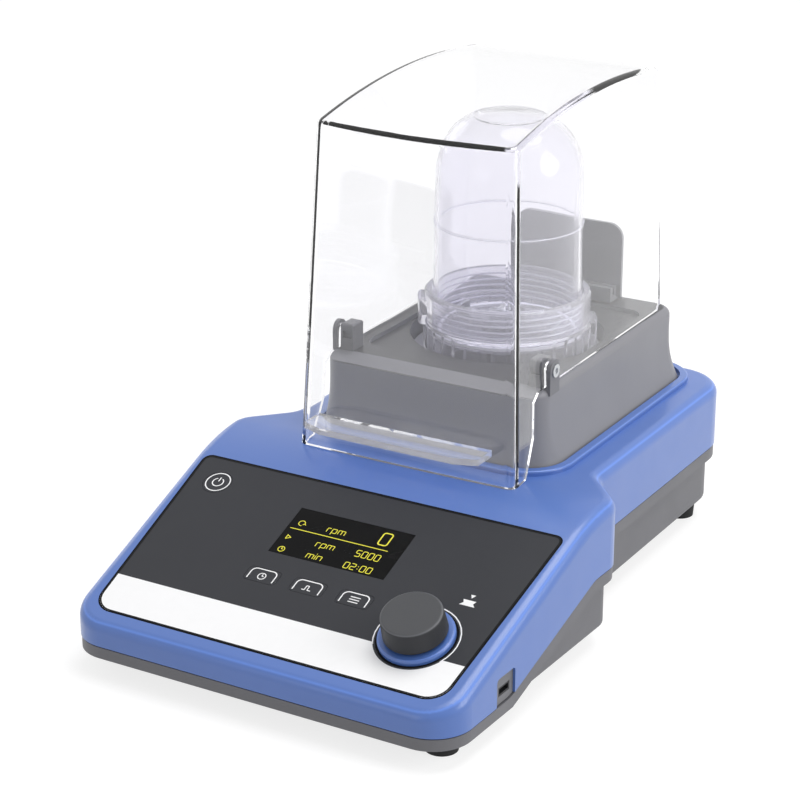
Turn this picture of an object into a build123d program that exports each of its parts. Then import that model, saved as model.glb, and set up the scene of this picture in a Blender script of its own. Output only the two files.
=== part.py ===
from build123d import *
import math
import os

# Tube mill: a bench grinder whose beater spins inside a closed, domed tube under a clear hood.
# Millimetres, +Z up, +Y to the rear, +X to the viewer's right.
# The origin is the middle of the footprint, at the level of the surface that the feet stand on.
# A name that ends in _back is a distance behind the body's front face.
# A name that ends in _height is a height above the surface that the feet stand on.

os.makedirs("parts", exist_ok=True)

# Clearances
overrun = 5.0
running_clearance = 0.05
loose_clearance = 0.3
seat_clearance = 0.1

# Turns and counts that shapes share
right_angle = 90.0
half_turn = 180.0
full_turn = 360.0
hexagon_sides = 6

# Driving sizes of the body
front_width = 156.0
shoulder_width = 162.8
rear_width = 132.0
shoulder_back = 116.0
waist_back = 132.5
rear_margin = 7.0
front_corner_radius = 15.0
shoulder_radius = 12.0
waist_radius = 9.0
rear_corner_radius = 19.5
deck_height = 57.6
panel_front_height = 21.3
panel_slope_deg = 20.0
fold_radius = 85.0
top_edge_radius = 4.5
shell_wall = 2.6
underside_height = 8.0
seam_front_height = 12.8
seam_rear_height = 32.2
ramp_start_back = 41.0
ramp_end_back = 100.0
ramp_radius = 14.0
seam_gap = 0.5
lip_height = 4.8
lip_inset = 0.3
recess_inset = 3.2
tub_wall = 2.4
tub_edge_radius = 1.6
tongue_height = 1.8

# Driving sizes of the platform
platform_front_back = 119.5
platform_length = 128.5
platform_foot_half_width = 50.6
platform_rise = 30.4
platform_corner_radius = 15.0
platform_corner_drop = 7.0
platform_wall = 3.0
platform_edge_radius = 3.0
platform_rise_shares = (0.0, 0.2, 0.45, 0.7, 1.0)
platform_draw_shares = (0.0, 0.52, 0.88, 0.97, 1.0)
platform_draw_side = 4.6
platform_draw_front = 3.0
platform_draw_rear = 7.0
bevel_setback = 4.0
bevel_length = 6.0
bevel_drop = 2.6
pocket_half_width = 38.0
pocket_front_margin = 19.5
pocket_rear_margin = 22.0
pocket_depth = 1.6
pocket_corner_radius = 7.0
ridge_gap = 0.5
ridge_width = 3.2
ridge_height = 2.0
ridge_round = 0.9

# Driving sizes of the tube and its drive, all about one upright axis
axis_shift = 0.75
well_radius = 37.0
well_wall = 2.4
well_depth = 16.0
tube_radius = 28.0
tube_wall = 1.6
tube_shoulder_length = 17.7
tube_straight_length = 60.7
tube_dome_length = 73.5
tube_crown_length = 82.0
tube_top_length = 83.1
tube_straight_radius = 27.4
tube_dome_radius = 23.9
tube_top_radius = 13.8
shaft_radius = 3.0
twist_deg = 35.0

# Driving sizes of the hood
hood_wall = 2.2
hood_front_reach = 16.2
hood_rear_setback = 16.2
hood_foot_half_width = 45.9
hood_top_half_width = 40.7
hood_front_lean = 4.9
hood_rear_lean = 1.1
hood_foot_drop = 0.3
hood_crest_rise = 101.5
hood_crest_shift = 1.0
hood_roof_radius = 319.0
hood_corner_radius = 4.0
hood_roof_round = 2.4
hood_bulge_foot = 0.6
hood_bulge_top = 2.4
hood_side_gap = 0.5
hood_rear_gap = 3.3
hinge_setback = 2.7
hinge_drop = 3.2
hinge_pin_radius = 1.5
hinge_knuckle_radius = 3.2
ledge_rise = 11.3
ledge_thickness = 2.5
ledge_half_width = 36.5
ledge_front_half_width = 28.1
ledge_depth = 12.4
ledge_chamfer_depth = 3.2

# Driving sizes of the control panel: u to the right, v up the slope, w out of the panel
foil_front_back = 7.0
foil_thickness = 0.8
foil_front_half_width = 70.5
foil_rear_half_width = 75.2
foil_length = 84.2
foil_front_radius = 8.0
foil_rear_radius = 3.0
foil_seam = 0.6
display_width = 47.8
display_length = 24.0
display_v = 57.2
knob_u = 48.8
knob_v = 24.2
knob_radius = 11.4
knob_top_radius = 10.9
knob_low = 3.2
knob_top = 11.2
knob_hole_radius = 14.4
knob_ring_radius = 13.6
knob_ring_bore = 10.4
knob_ring_rise = 2.0
key_v = 33.4
key_pitch = 19.0
key_width = 13.2
key_length = 6.6
key_corner_radius = 1.6
power_u = -62.6
power_v = 71.6
power_radius = 5.6
key_travel = 0.4
board_level = -13.2
board_thickness = 1.6

# Places that follow from the driving sizes
platform_rear_back = platform_front_back + platform_length
body_depth = platform_rear_back + rear_margin
front_y = -body_depth / 2
axis_back = (platform_front_back + platform_rear_back) / 2 - axis_shift
pocket_front_back = platform_front_back + pocket_front_margin
pocket_rear_back = platform_rear_back - pocket_rear_margin
platform_top_height = deck_height + platform_rise
pocket_height = platform_top_height - pocket_depth
ceiling_height = pocket_height - platform_wall
well_floor_height = platform_top_height - well_depth
floor_height = underside_height + tub_wall
hood_front_back = platform_front_back - hood_front_reach
hood_rear_back = platform_rear_back - hood_rear_setback
hood_crest_back = axis_back + hood_crest_shift
hood_foot_height = deck_height - hood_foot_drop
hood_side_height = platform_top_height + hood_side_gap
hood_rear_height = platform_top_height + hood_rear_gap
hood_crest_height = platform_top_height + hood_crest_rise
hinge_back = platform_rear_back - hinge_setback
hinge_height = platform_top_height - hinge_drop
ledge_low_height = hood_foot_height + ledge_rise
ledge_top_height = ledge_low_height + ledge_thickness
panel_slope = math.radians(panel_slope_deg)
panel_inside = -foil_thickness - shell_wall


def behind(distance):
    """The y of a point that lies a distance behind the body's front face."""
    return front_y + distance


axis_y = behind(axis_back)
hinge_y = behind(hinge_back)

# Helpers


def block(x_low, x_high, back_low, back_high, z_low, z_high):
    """A box between two values on each axis."""
    middle = Pos((x_low + x_high) / 2, behind((back_low + back_high) / 2), (z_low + z_high) / 2)
    return middle * Box(x_high - x_low, back_high - back_low, z_high - z_low)


def column(x, back, z_low, z_high, radius):
    """An upright cylinder."""
    return Pos(x, behind(back), (z_low + z_high) / 2) * Cylinder(radius, z_high - z_low)


def ring(outer_radius, inner_radius, z_low, z_high, x=0.0, back=axis_back):
    """An upright ring, on the drive axis unless told otherwise."""
    outer = column(x, back, z_low, z_high, outer_radius)
    return outer - column(x, back, z_low - overrun, z_high + overrun, inner_radius)


def across_rod(radius, x_low, x_high, back, height):
    """A cylinder that lies across the width."""
    rod = Rot(0, right_angle, 0) * Cylinder(radius, x_high - x_low)
    return Pos((x_low + x_high) / 2, behind(back), height) * rod


def side_solid(points, x_low, x_high, radii=0.0):
    """A side outline of back and height pairs, made solid between two x values."""
    flat = [(behind(back), height) for back, height in points]
    face = make_face(FilletPolyline(*flat, radius=radii, close=True))
    return Pos(x_low, 0, 0) * (Plane.YZ * extrude(face, x_high - x_low))


def sector(inner_radius, outer_radius, start_deg, end_deg, z_low, z_high):
    """A slice of a ring about the drive axis."""
    start = math.radians(start_deg)
    end = math.radians(end_deg)
    middle = (start + end) / 2
    near, far = [
        [(radius * math.cos(angle), radius * math.sin(angle)) for angle in (start, middle, end)]
        for radius in (inner_radius, outer_radius)
    ]
    sides = [Line(near[0], far[0]), Line(far[-1], near[-1])]
    arcs = [ThreePointArc(*far), ThreePointArc(*near)]
    face = make_face(sides + arcs)
    return Pos(0, axis_y, z_low) * extrude(face, z_high - z_low)


def turned(points):
    """A solid of revolution about the drive axis, from radius and height pairs."""
    line = Polyline(*[(radius, 0, height) for radius, height in points], close=True)
    return Pos(0, axis_y, 0) * revolve(make_face(line), Axis.Z)


def around(shape, count, start_deg=0.0):
    """Copies of a shape turned about the drive axis."""
    step = full_turn / count
    centre = Pos(0, axis_y, 0)
    turns = [centre * Rot(0, 0, start_deg + step * index) * centre.inverse() for index in range(count)]
    return [turn * shape for turn in turns]


def both_sides(shape):
    return [shape, mirror(shape, about=Plane.YZ)]


screw_drive_share = 0.45
screw_round_share = 0.4


def screw(radius, length, head_radius, head_height):
    """A pan head screw that points up, with the underside of its head at zero."""
    shank = Pos(0, 0, length / 2) * Cylinder(radius, length)
    head = Pos(0, 0, -head_height / 2) * Cylinder(head_radius, head_height)
    head = chamfer(head.edges().group_by(Axis.Z)[0], head_height * screw_round_share)
    socket = extrude(RegularPolygon(head_radius * screw_drive_share, hexagon_sides), head_height / 2)
    return shank + head - Pos(0, 0, -head_height) * socket


# Body outline, side profile and seam


def plan_face(inset=0.0):
    """The body's outline from above, drawn in by an inset."""
    half = [
        (front_width / 2, behind(0), front_corner_radius),
        (shoulder_width / 2, behind(shoulder_back), shoulder_radius),
        (rear_width / 2, behind(waist_back), waist_radius),
        (rear_width / 2, behind(body_depth), rear_corner_radius),
    ]
    right = [(x, y) for x, y, _ in half]
    left = [(-x, y) for x, y in reversed(right)]
    radii = [radius for _, _, radius in half]
    face = make_face(FilletPolyline(*right, *left, radius=radii + radii[::-1], close=True))
    if inset > 0:
        face = offset(face, amount=-inset)
    return face


def under_profile(drop=0.0):
    """All below the side outline: nose, sloping panel, soft fold and flat deck."""
    slope = math.tan(panel_slope)
    nose = panel_front_height - drop / math.cos(panel_slope)
    deck = deck_height - drop
    far = body_depth + overrun
    points = [
        (-overrun, -overrun),
        (-overrun, nose - overrun * slope),
        ((deck - nose) / slope, deck),
        (far, deck),
        (far, -overrun),
    ]
    return side_solid(points, -shoulder_width, shoulder_width, [0, 0, fold_radius, 0, 0])


def under_seam(drop=0.0):
    """All below the ramped seam, lowered by a drop."""
    far = body_depth + overrun
    points = [
        (-overrun, -overrun),
        (-overrun, seam_front_height - drop),
        (ramp_start_back, seam_front_height - drop),
        (ramp_end_back, seam_rear_height - drop),
        (far, seam_rear_height - drop),
        (far, -overrun),
    ]
    return side_solid(points, -shoulder_width, shoulder_width, [0, 0, ramp_radius, ramp_radius, 0, 0])


def body_block(inset=0.0, drop=0.0):
    """The body's outline and side profile as one solid that reaches the ground."""
    return extrude(plan_face(inset), deck_height + overrun) & under_profile(drop)


# The panel's own frame
panel_origin_height = panel_front_height + foil_front_back * math.tan(panel_slope)
panel_frame = Plane(
    origin=(0, behind(foil_front_back), panel_origin_height),
    x_dir=(1, 0, 0),
    z_dir=(0, -math.sin(panel_slope), math.cos(panel_slope)),
).location


def on_panel(shape, u=0.0, v=0.0, w=0.0):
    return panel_frame * Pos(u, v, w) * shape


def panel_block(u_low, u_high, v_low, v_high, w_low, w_high):
    box = Box(u_high - u_low, v_high - v_low, w_high - w_low)
    return on_panel(box, (u_low + u_high) / 2, (v_low + v_high) / 2, (w_low + w_high) / 2)


def panel_box(u, v, width, length, w_low, w_high):
    half_u = width / 2
    half_v = length / 2
    return panel_block(u - half_u, u + half_u, v - half_v, v + half_v, w_low, w_high)


def panel_rod(radius, u, v, w_low, w_high):
    return on_panel(Cylinder(radius, w_high - w_low), u, v, (w_low + w_high) / 2)


def panel_plate(face, u, v, w_low, w_high):
    return on_panel(extrude(face, w_high - w_low), u, v, w_low)


def foil_face(extra=0.0):
    corners = [
        (foil_front_half_width, 0),
        (foil_rear_half_width, foil_length),
        (-foil_rear_half_width, foil_length),
        (-foil_front_half_width, 0),
    ]
    radii = [foil_front_radius, foil_rear_radius, foil_rear_radius, foil_front_radius]
    face = make_face(FilletPolyline(*corners, radius=radii, close=True))
    if extra > 0:
        face = offset(face, amount=extra)
    return face


key_seam = 0.15
key_names = ("timer_key", "interval_key", "menu_key")
key_places = [(-key_pitch, key_v), (0, key_v), (key_pitch, key_v)]
switch_places = key_places + [(power_u, power_v)]


def key_face(extra=0.0):
    return RectangleRounded(key_width + 2 * extra, key_length + 2 * extra, key_corner_radius + extra)


def power_face(extra=0.0):
    return Circle(power_radius + extra)


# Fixing places shared by both halves of the body and the feet
foot_front_half_pitch = 65.0
foot_rear_half_pitch = 53.0
foot_front_back = 18.4
foot_rear_margin = 18.0
foot_rear_back = body_depth - foot_rear_margin
boss_radius = 4.2
boss_meet_front = 15.5
boss_meet_rear = 30.0
body_screw_radius = 1.5
body_screw_head_radius = 2.9
body_screw_head_height = 1.8
body_screw_bite = 8.0
corner_places = [
    (foot_front_half_pitch, foot_front_back, boss_meet_front),
    (-foot_front_half_pitch, foot_front_back, boss_meet_front),
    (foot_rear_half_pitch, foot_rear_back, boss_meet_rear),
    (-foot_rear_half_pitch, foot_rear_back, boss_meet_rear),
]

# Upper housing
deck_opening_radius = 27.0
window_front_back = 31.0
window_rear_back = 43.2
window_top_height = 23.2
window_corner_radius = 1.5
window_depth = 9.8
display_ledge = 1.4
display_seam = 0.12
bush_radius = 5.2
key_pocket_extra = 0.15
key_stem_radius = 1.6
board_post_radius = 2.8
board_screw_radius = 1.2
board_screw_bite = 5.0
board_post_places = [(-58.0, 24.0), (61.0, 44.0), (-46.0, 73.0), (46.0, 73.0)]
post_bite = 0.4


def rounded_body():
    """The body with its top perimeter rounded."""
    body = body_block()
    tops = [face for face in body.faces() if face.normal_at().Z > math.cos(2 * panel_slope)]
    rims = [edge for face in tops for edge in face.edges()]
    outline = [edge for edge in rims if sum(edge.is_same(other) for other in rims) == 1]
    return fillet(outline, top_edge_radius)


def upper_bosses():
    """Screw bosses inside the upper housing and the posts that carry the control board."""
    inside = body_block(shell_wall / 2, shell_wall / 2)
    bosses = [column(x, back, meet, deck_height, boss_radius) & inside for x, back, meet in corner_places]
    posts = [
        panel_rod(board_post_radius, u, v, board_level, panel_inside + post_bite)
        for u, v in board_post_places
    ]
    return bosses + posts


def upper_pilots():
    bosses = [
        column(x, back, meet - overrun, meet + body_screw_bite, body_screw_radius)
        for x, back, meet in corner_places
    ]
    posts = [
        panel_rod(board_screw_radius, u, v, board_level - overrun, board_level + board_screw_bite)
        for u, v in board_post_places
    ]
    return bosses + posts


def platform_ridge():
    """The raised lip round the platform's foot."""
    outer = offset(foot_face(), amount=ridge_gap + ridge_width)
    lip = Pos(0, 0, deck_height - post_bite) * extrude(outer, ridge_height + post_bite)
    lip = fillet(lip.edges().group_by(Axis.Z)[-1], ridge_round)
    inner = offset(foot_face(), amount=ridge_gap)
    return lip - Pos(0, 0, deck_height - overrun) * extrude(inner, overrun + ridge_height + overrun)


def foot_face():
    length = platform_rear_back - platform_front_back
    middle = behind((platform_rear_back + platform_front_back) / 2)
    return Pos(0, middle) * RectangleRounded(2 * platform_foot_half_width, length, platform_corner_radius)


def panel_openings():
    """What is cut through the panel's wall."""
    window = [
        display_width - 2 * display_ledge,
        display_length - 2 * display_ledge,
    ]
    cuts = [panel_box(0, display_v, *window, panel_inside - overrun, overrun)]
    cuts.append(panel_rod(bush_radius + seat_clearance, knob_u, knob_v, panel_inside - overrun, overrun))
    floor = -foil_thickness - key_travel - key_seam
    for u, v in key_places:
        cuts.append(panel_plate(key_face(key_pocket_extra), u, v, floor, overrun))
    cuts.append(panel_plate(power_face(key_pocket_extra), power_u, power_v, floor, overrun))
    stem_bore = key_stem_radius + running_clearance
    for u, v in switch_places:
        cuts.append(panel_rod(stem_bore, u, v, panel_inside - overrun, overrun))
    return cuts


def knob_ring():
    """The raised ring round the knob's spindle."""
    rise = panel_rod(knob_ring_radius, knob_u, knob_v, -foil_thickness - post_bite, knob_ring_rise)
    top = rise.edges().filter_by(GeomType.CIRCLE).sort_by(Axis.Z)[-1]
    rise = fillet(top, knob_ring_rise / 2)
    bore = panel_rod(knob_ring_bore, knob_u, knob_v, -foil_thickness - overrun, knob_ring_rise + overrun)
    return rise - bore


def side_reach():
    """Half the body's width at the interface window, where its side runs at a slant."""
    share = (window_front_back + window_rear_back) / 2 / shoulder_back
    return (front_width + (shoulder_width - front_width) * share) / 2


def window_block(gap=0.0):
    """The interface window's envelope on the right side."""
    length = window_rear_back - window_front_back - 2 * gap
    rise = window_top_height - seam_front_height - gap + overrun
    face = Rectangle(length, rise)
    upper = face.vertices().group_by(Axis.Y)[-1]
    face = fillet(upper, window_corner_radius)
    solid = extrude(face, window_depth + overrun)
    middle = behind((window_front_back + window_rear_back) / 2)
    base = seam_front_height - overrun + rise / 2
    inner = (side_reach() - window_depth, middle, base)
    return Plane(origin=inner, x_dir=(0, 1, 0), z_dir=(1, 0, 0)).location * solid


def upper_housing():
    outer = rounded_body()
    shell = outer - body_block(shell_wall, shell_wall)
    pad = panel_plate(foil_face(shell_wall), 0, 0, panel_inside, -seat_clearance)
    shell = shell + (pad & outer) + upper_bosses() + platform_ridge()
    shell -= under_seam()
    shell -= column(0, axis_back, deck_height - overrun, deck_height + overrun, deck_opening_radius)
    screw_hole = platform_screw_radius + seat_clearance
    for x, back in platform_fixing_places:
        shell -= column(x, back, deck_height - overrun, deck_height + overrun, screw_hole)
    shell -= panel_plate(foil_face(foil_seam), 0, 0, -foil_thickness, overrun)
    shell += knob_ring()
    shell -= panel_openings()
    shell -= upper_pilots()
    shell -= window_block()
    return shell


# Lower housing
foot_stem_radius = 3.4
vent_length = 34.0
vent_width = 3.0
vent_pitch = 6.5
vent_count = 5
exhaust_width = 2.2
exhaust_pitch = 5.0
exhaust_count = 7
exhaust_low = 13.5
exhaust_high = 25.0
exhaust_x = 22.0
inlet_x = -34.0
inlet_width = 15.0
inlet_low = 13.0
inlet_high = 24.0
inlet_depth = 18.0
inlet_jack_radius = 3.9
inlet_pin_radius = 1.0
board_stand_radius = 3.2
board_stand_screw_radius = 1.2
board_stand_rise = 4.6
drive_board_low = floor_height + board_stand_rise
drive_board_thickness = 1.6
drive_board_half_width = 45.0
drive_board_front_back = 58.0
drive_board_rear_back = 150.0
drive_board_margin = 5.0


def board_stand_places():
    x = drive_board_half_width - drive_board_margin
    backs = (drive_board_front_back + drive_board_margin, drive_board_rear_back - drive_board_margin)
    return [(side * x, back) for side in (1, -1) for back in backs]


def lower_housing():
    tub = body_block(recess_inset, recess_inset) & under_seam(seam_gap - tongue_height)
    ground = extrude(plan_face(), underside_height)
    lip = (body_block(lip_inset) & under_seam(seam_gap)) - under_seam(seam_gap + lip_height)
    lip = lip - extrude(plan_face(recess_inset), deck_height) - ground
    tub -= ground
    tub = fillet(tub.faces().sort_by(Axis.Z)[0].edges(), tub_edge_radius)
    tub += lip
    hollow = extrude(plan_face(recess_inset + tub_wall), deck_height)
    tub -= Pos(0, 0, floor_height) * hollow
    inside = extrude(plan_face(recess_inset + tub_wall / 2), deck_height)
    posts = [column(x, back, underside_height, meet, boss_radius) for x, back, meet in corner_places]
    posts += [
        column(x, back, underside_height + tub_wall / 2, drive_board_low, board_stand_radius)
        for x, back in board_stand_places()
    ]
    tub += [post & inside for post in posts]
    screw_bore = body_screw_radius + seat_clearance
    tub -= [column(x, back, 0, meet + overrun, screw_bore) for x, back, meet in corner_places]
    tub -= [
        column(x, back, floor_height, drive_board_low + overrun, board_stand_screw_radius)
        for x, back in board_stand_places()
    ]
    for index in range(vent_count):
        x = (index - (vent_count - 1) / 2) * vent_pitch
        slot = extrude(SlotOverall(vent_length, vent_width, rotation=right_angle), floor_height)
        tub -= Pos(x, axis_y, underside_height - tub_wall) * slot
    for index in range(exhaust_count):
        x = exhaust_x + (index - (exhaust_count - 1) / 2) * exhaust_pitch
        half = exhaust_width / 2
        tub -= block(x - half, x + half, body_depth - inlet_depth, body_depth, exhaust_low, exhaust_high)
    tub -= inlet_envelope()
    return tub


def inlet_envelope():
    half = inlet_width / 2
    rear = body_depth - recess_inset
    return block(inlet_x - half, inlet_x + half, rear - inlet_depth, rear, inlet_low, inlet_high)


# Feet and body screws
foot_radius = 6.5
foot_base_radius = 5.8
foot_head_room = 6.2


def rubber_feet():
    feet = []
    for x, back, _ in corner_places:
        foot = Cone(foot_base_radius, foot_radius, underside_height)
        foot = Pos(x, behind(back), underside_height / 2) * foot
        foot -= column(x, back, -overrun, foot_head_room, foot_stem_radius)
        foot -= column(x, back, 0, underside_height + overrun, body_screw_radius + seat_clearance)
        feet.append(foot)
    return Compound(children=feet)


def housing_screws():
    screws = []
    for x, back, meet in corner_places:
        length = meet + body_screw_bite - foot_head_room
        solid = screw(body_screw_radius, length, body_screw_head_radius, body_screw_head_height)
        screws.append(Pos(x, behind(back), foot_head_room) * solid)
    return Compound(children=screws)


# Platform
platform_screw_radius = 1.25
platform_screw_head_radius = 2.4
platform_screw_head_height = 1.6
platform_screw_length = 10.0
platform_boss_radius = 3.6
platform_fix_half_pitch = 38.0
platform_fix_front_margin = 11.5
platform_fix_rear_margin = 16.5
platform_fix_front_back = platform_front_back + platform_fix_front_margin
platform_fix_rear_back = platform_rear_back - platform_fix_rear_margin
platform_fixing_places = [
    (side * platform_fix_half_pitch, back)
    for side in (1, -1) for back in (platform_fix_front_back, platform_fix_rear_back)
]
bracket_half = 41.0
bracket_hang = 36.0
bracket_thickness = 2.0
bracket_screw_bite = 5.0
bracket_boss_length = 9.4
damper_height = 6.0
damper_top = ceiling_height - bracket_boss_length
bracket_low = damper_top - damper_height - bracket_thickness
bracket_boss_radius = 4.0
bracket_screw_radius = 1.5
hinge_lug_inner = 14.4
hinge_lug_outer = 20.0
seal_seat_radius = 8.0
bracket_places = [
    (side * bracket_hang, axis_back + reach * bracket_hang) for side in (1, -1) for reach in (1, -1)
]


def platform_section(index, inset=0.0):
    """One level of the platform's outer form, drawn in by an inset."""
    share = platform_draw_shares[index]
    height = deck_height + (platform_top_height - deck_height) * platform_rise_shares[index]
    half = platform_foot_half_width - platform_draw_side * share - inset
    front = platform_front_back + platform_draw_front * share + inset
    rear = platform_rear_back - platform_draw_rear * share - inset
    radius = platform_corner_radius - platform_corner_drop * share - inset
    place = Pos(0, behind((front + rear) / 2), height)
    return place * RectangleRounded(2 * half, rear - front, radius)


def platform_form(inset=0.0):
    return loft([platform_section(index, inset) for index in range(len(platform_draw_shares))])


def hinge_lugs():
    """The two ears at the rear that hold the hinge pin."""
    inner = platform_rear_back - platform_draw_rear - platform_wall
    web = side_solid(
        [
            (inner, hinge_height - 2 * hinge_knuckle_radius),
            (inner, hinge_height + hinge_knuckle_radius),
            (hinge_back, hinge_height + hinge_knuckle_radius),
            (hinge_back + hinge_knuckle_radius, hinge_height),
            (hinge_back, hinge_height - hinge_knuckle_radius),
        ],
        hinge_lug_inner,
        hinge_lug_outer,
    )
    eye = across_rod(hinge_knuckle_radius, hinge_lug_inner, hinge_lug_outer, hinge_back, hinge_height)
    return both_sides(web + eye)


def platform_housing():
    form = platform_form()
    top = form.faces().sort_by(Axis.Z)[-1]
    form = fillet(top.edges(), platform_edge_radius)
    front = platform_front_back + bevel_setback
    wedge = side_solid(
        [
            (front - overrun, platform_top_height - bevel_drop),
            (front, platform_top_height - bevel_drop),
            (front + bevel_length, platform_top_height),
            (front + bevel_length, platform_top_height + overrun),
            (front - overrun, platform_top_height + overrun),
        ],
        -shoulder_width,
        shoulder_width,
    )
    form -= wedge
    room = platform_form(platform_wall)
    room &= block(-shoulder_width, shoulder_width, 0, body_depth, deck_height - overrun, ceiling_height)
    form -= room
    pocket_length = pocket_rear_back - pocket_front_back
    pocket = extrude(RectangleRounded(2 * pocket_half_width, pocket_length, pocket_corner_radius), overrun)
    form -= Pos(0, behind((pocket_front_back + pocket_rear_back) / 2), pocket_height) * pocket
    form += column(0, axis_back, well_floor_height - well_wall, pocket_height, well_radius + well_wall)
    form -= column(0, axis_back, well_floor_height, platform_top_height + overrun, well_radius)
    form -= column(0, axis_back, well_floor_height - overrun, well_floor_height + overrun, seal_seat_radius)
    form += [
        column(x, back, deck_height, ceiling_height + post_bite, platform_boss_radius)
        for x, back in platform_fixing_places
    ]
    form += [
        column(x, back, damper_top, ceiling_height + post_bite, bracket_boss_radius)
        for x, back in bracket_places
    ]
    form -= [
        column(x, back, deck_height - overrun, deck_height + platform_screw_length, platform_screw_radius)
        for x, back in platform_fixing_places
    ]
    form -= [
        column(x, back, damper_top - overrun, damper_top + bracket_screw_bite, bracket_screw_radius)
        for x, back in bracket_places
    ]
    form += hinge_lugs()
    form -= across_rod(hinge_pin_radius, -hinge_lug_outer, hinge_lug_outer, hinge_back, hinge_height)
    form -= post_seats()
    return form


def platform_screws():
    screws = []
    head = deck_height - shell_wall
    for x, back in platform_fixing_places:
        length = shell_wall + platform_screw_length
        solid = screw(platform_screw_radius, length, platform_screw_head_radius, platform_screw_head_height)
        screws.append(Pos(x, behind(back), head) * solid)
    return Compound(children=screws)


# Guide posts for the hood's side walls
post_setback = 9.7
post_length = 7.4
post_seat_depth = 2.6
post_rise = 10.4
post_block_inner = 36.4
post_block_outer = 41.7
post_ear_inner = 45.1
post_ear_outer = 46.7
post_block_round = 0.9
post_pin_rise = 6.3
post_pin_radius = 1.6
post_pin_head_radius = 2.5
post_pin_head = 0.6
post_pin_recess = 1.1
post_recess_rise = 4.8
post_recess_length = 2.6
post_recess_margin = 0.8
post_recess_depth = 1.0
post_pin_bite = 4.0
post_front_back = platform_front_back + post_setback
post_rear_back = post_front_back + post_length
post_low_height = platform_top_height - post_seat_depth
post_top_height = platform_top_height + post_rise
post_pin_height = platform_top_height + post_pin_rise
post_recess_low = platform_top_height + post_recess_rise
post_recess_high = post_recess_low + post_recess_length


def post_ear():
    """The outer ear, an upright plate with a round top."""
    radius = (post_rear_back - post_front_back) / 2
    shoulder = post_top_height - radius
    body = block(post_ear_inner, post_ear_outer, post_front_back, post_rear_back, post_low_height, shoulder)
    return body + across_rod(radius, post_ear_inner, post_ear_outer, post_front_back + radius, shoulder)


def post_block():
    """The inner block, with its top edges rounded."""
    body = block(
        post_block_inner, post_block_outer, post_front_back, post_rear_back, post_low_height, post_top_height,
    )
    return fillet(body.edges().group_by(Axis.Z)[-1], post_block_round)


def post_seats():
    cut = block(
        post_block_inner, post_ear_outer + overrun, post_front_back, post_rear_back,
        post_low_height, post_top_height,
    )
    return both_sides(cut)


def guide_post(side):
    """The fork that one side wall of the hood drops into."""
    base = block(
        post_block_inner, post_ear_outer, post_front_back, post_rear_back,
        post_low_height, hood_side_height - 2 * loose_clearance,
    )
    post = post_block() + post_ear() + base
    post -= block(
        post_block_inner + post_recess_margin, post_block_outer - post_recess_margin,
        post_front_back - overrun, post_front_back + post_recess_depth,
        post_recess_low, post_recess_high,
    )
    middle = (post_front_back + post_rear_back) / 2
    post -= across_rod(
        post_pin_radius, post_block_outer - post_pin_bite, post_ear_outer + overrun, middle, post_pin_height,
    )
    if side < 0:
        post = mirror(post, about=Plane.YZ)
    return post


def post_pins():
    middle = (post_front_back + post_rear_back) / 2
    end = post_ear_outer + post_pin_head
    pin = across_rod(post_pin_radius, post_block_outer - post_pin_bite, end, middle, post_pin_height)
    pin += across_rod(post_pin_head_radius, post_ear_outer, end, middle, post_pin_height)
    pin -= across_rod(
        post_pin_recess, post_ear_outer, post_ear_outer + overrun, middle, post_pin_height,
    )
    return Compound(children=both_sides(pin))


# Holder, seal and coupling in the well
holder_radius = 36.2
holder_bore = 27.6
holder_length = 7.8
groove_radius = 31.0
groove_rise = 1.8
groove_height = 3.0
lug_radius = 30.2
lug_half_deg = 15.0
lug_play_deg = 2.0
bayonet_count = 3
seal_radius = 8.0
seal_bore = 3.4
seal_lip = 0.5
coupling_collar_radius = 5.4
coupling_gap = 0.8
coupling_collar_height = 0.8
coupling_length = 3.6
coupling_flats = 8.0
holder_top_height = well_floor_height + holder_length
groove_low_height = well_floor_height + groove_rise
groove_high_height = groove_low_height + groove_height
lug_low_height = groove_low_height + loose_clearance
lug_high_height = groove_high_height - loose_clearance
coupling_collar_low = well_floor_height + coupling_gap
coupling_collar_high = coupling_collar_low + coupling_collar_height
coupling_high = coupling_collar_high + coupling_length


def tube_holder():
    """The ring in the well, with a bayonet groove and three ways in from above."""
    holder = ring(holder_radius, holder_bore, well_floor_height, holder_top_height)
    entry = lug_half_deg + lug_play_deg
    groove = sector(
        holder_bore - loose_clearance, groove_radius, -entry - twist_deg, entry,
        groove_low_height, groove_high_height,
    )
    way_in = sector(
        holder_bore - loose_clearance, groove_radius, -entry, entry,
        groove_low_height, holder_top_height + overrun,
    )
    holder -= around(groove, bayonet_count)
    holder -= around(way_in, bayonet_count)
    return holder


def drive_seal():
    """A rubber lip seal round the drive shaft, pressed into the well's floor."""
    floor = well_floor_height - well_wall
    body = ring(seal_radius, (seal_radius + seal_bore) / 2, floor, well_floor_height)
    lip = ring(seal_radius, seal_bore, well_floor_height - seal_lip, well_floor_height + seal_lip / 2)
    foot = ring(seal_radius, seal_bore + seal_lip, floor, floor + seal_lip)
    return body + lip + foot


def hexagon(flats):
    return RegularPolygon(flats / 2, hexagon_sides, major_radius=False)


def drive_coupling():
    """The hexagon that drives the beater."""
    collar = ring(coupling_collar_radius, shaft_radius, coupling_collar_low, coupling_collar_high)
    hexed = Pos(0, axis_y, coupling_collar_high) * extrude(hexagon(coupling_flats), coupling_length)
    hexed -= column(0, axis_back, coupling_collar_low, coupling_high + overrun, shaft_radius)
    return collar + hexed


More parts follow.
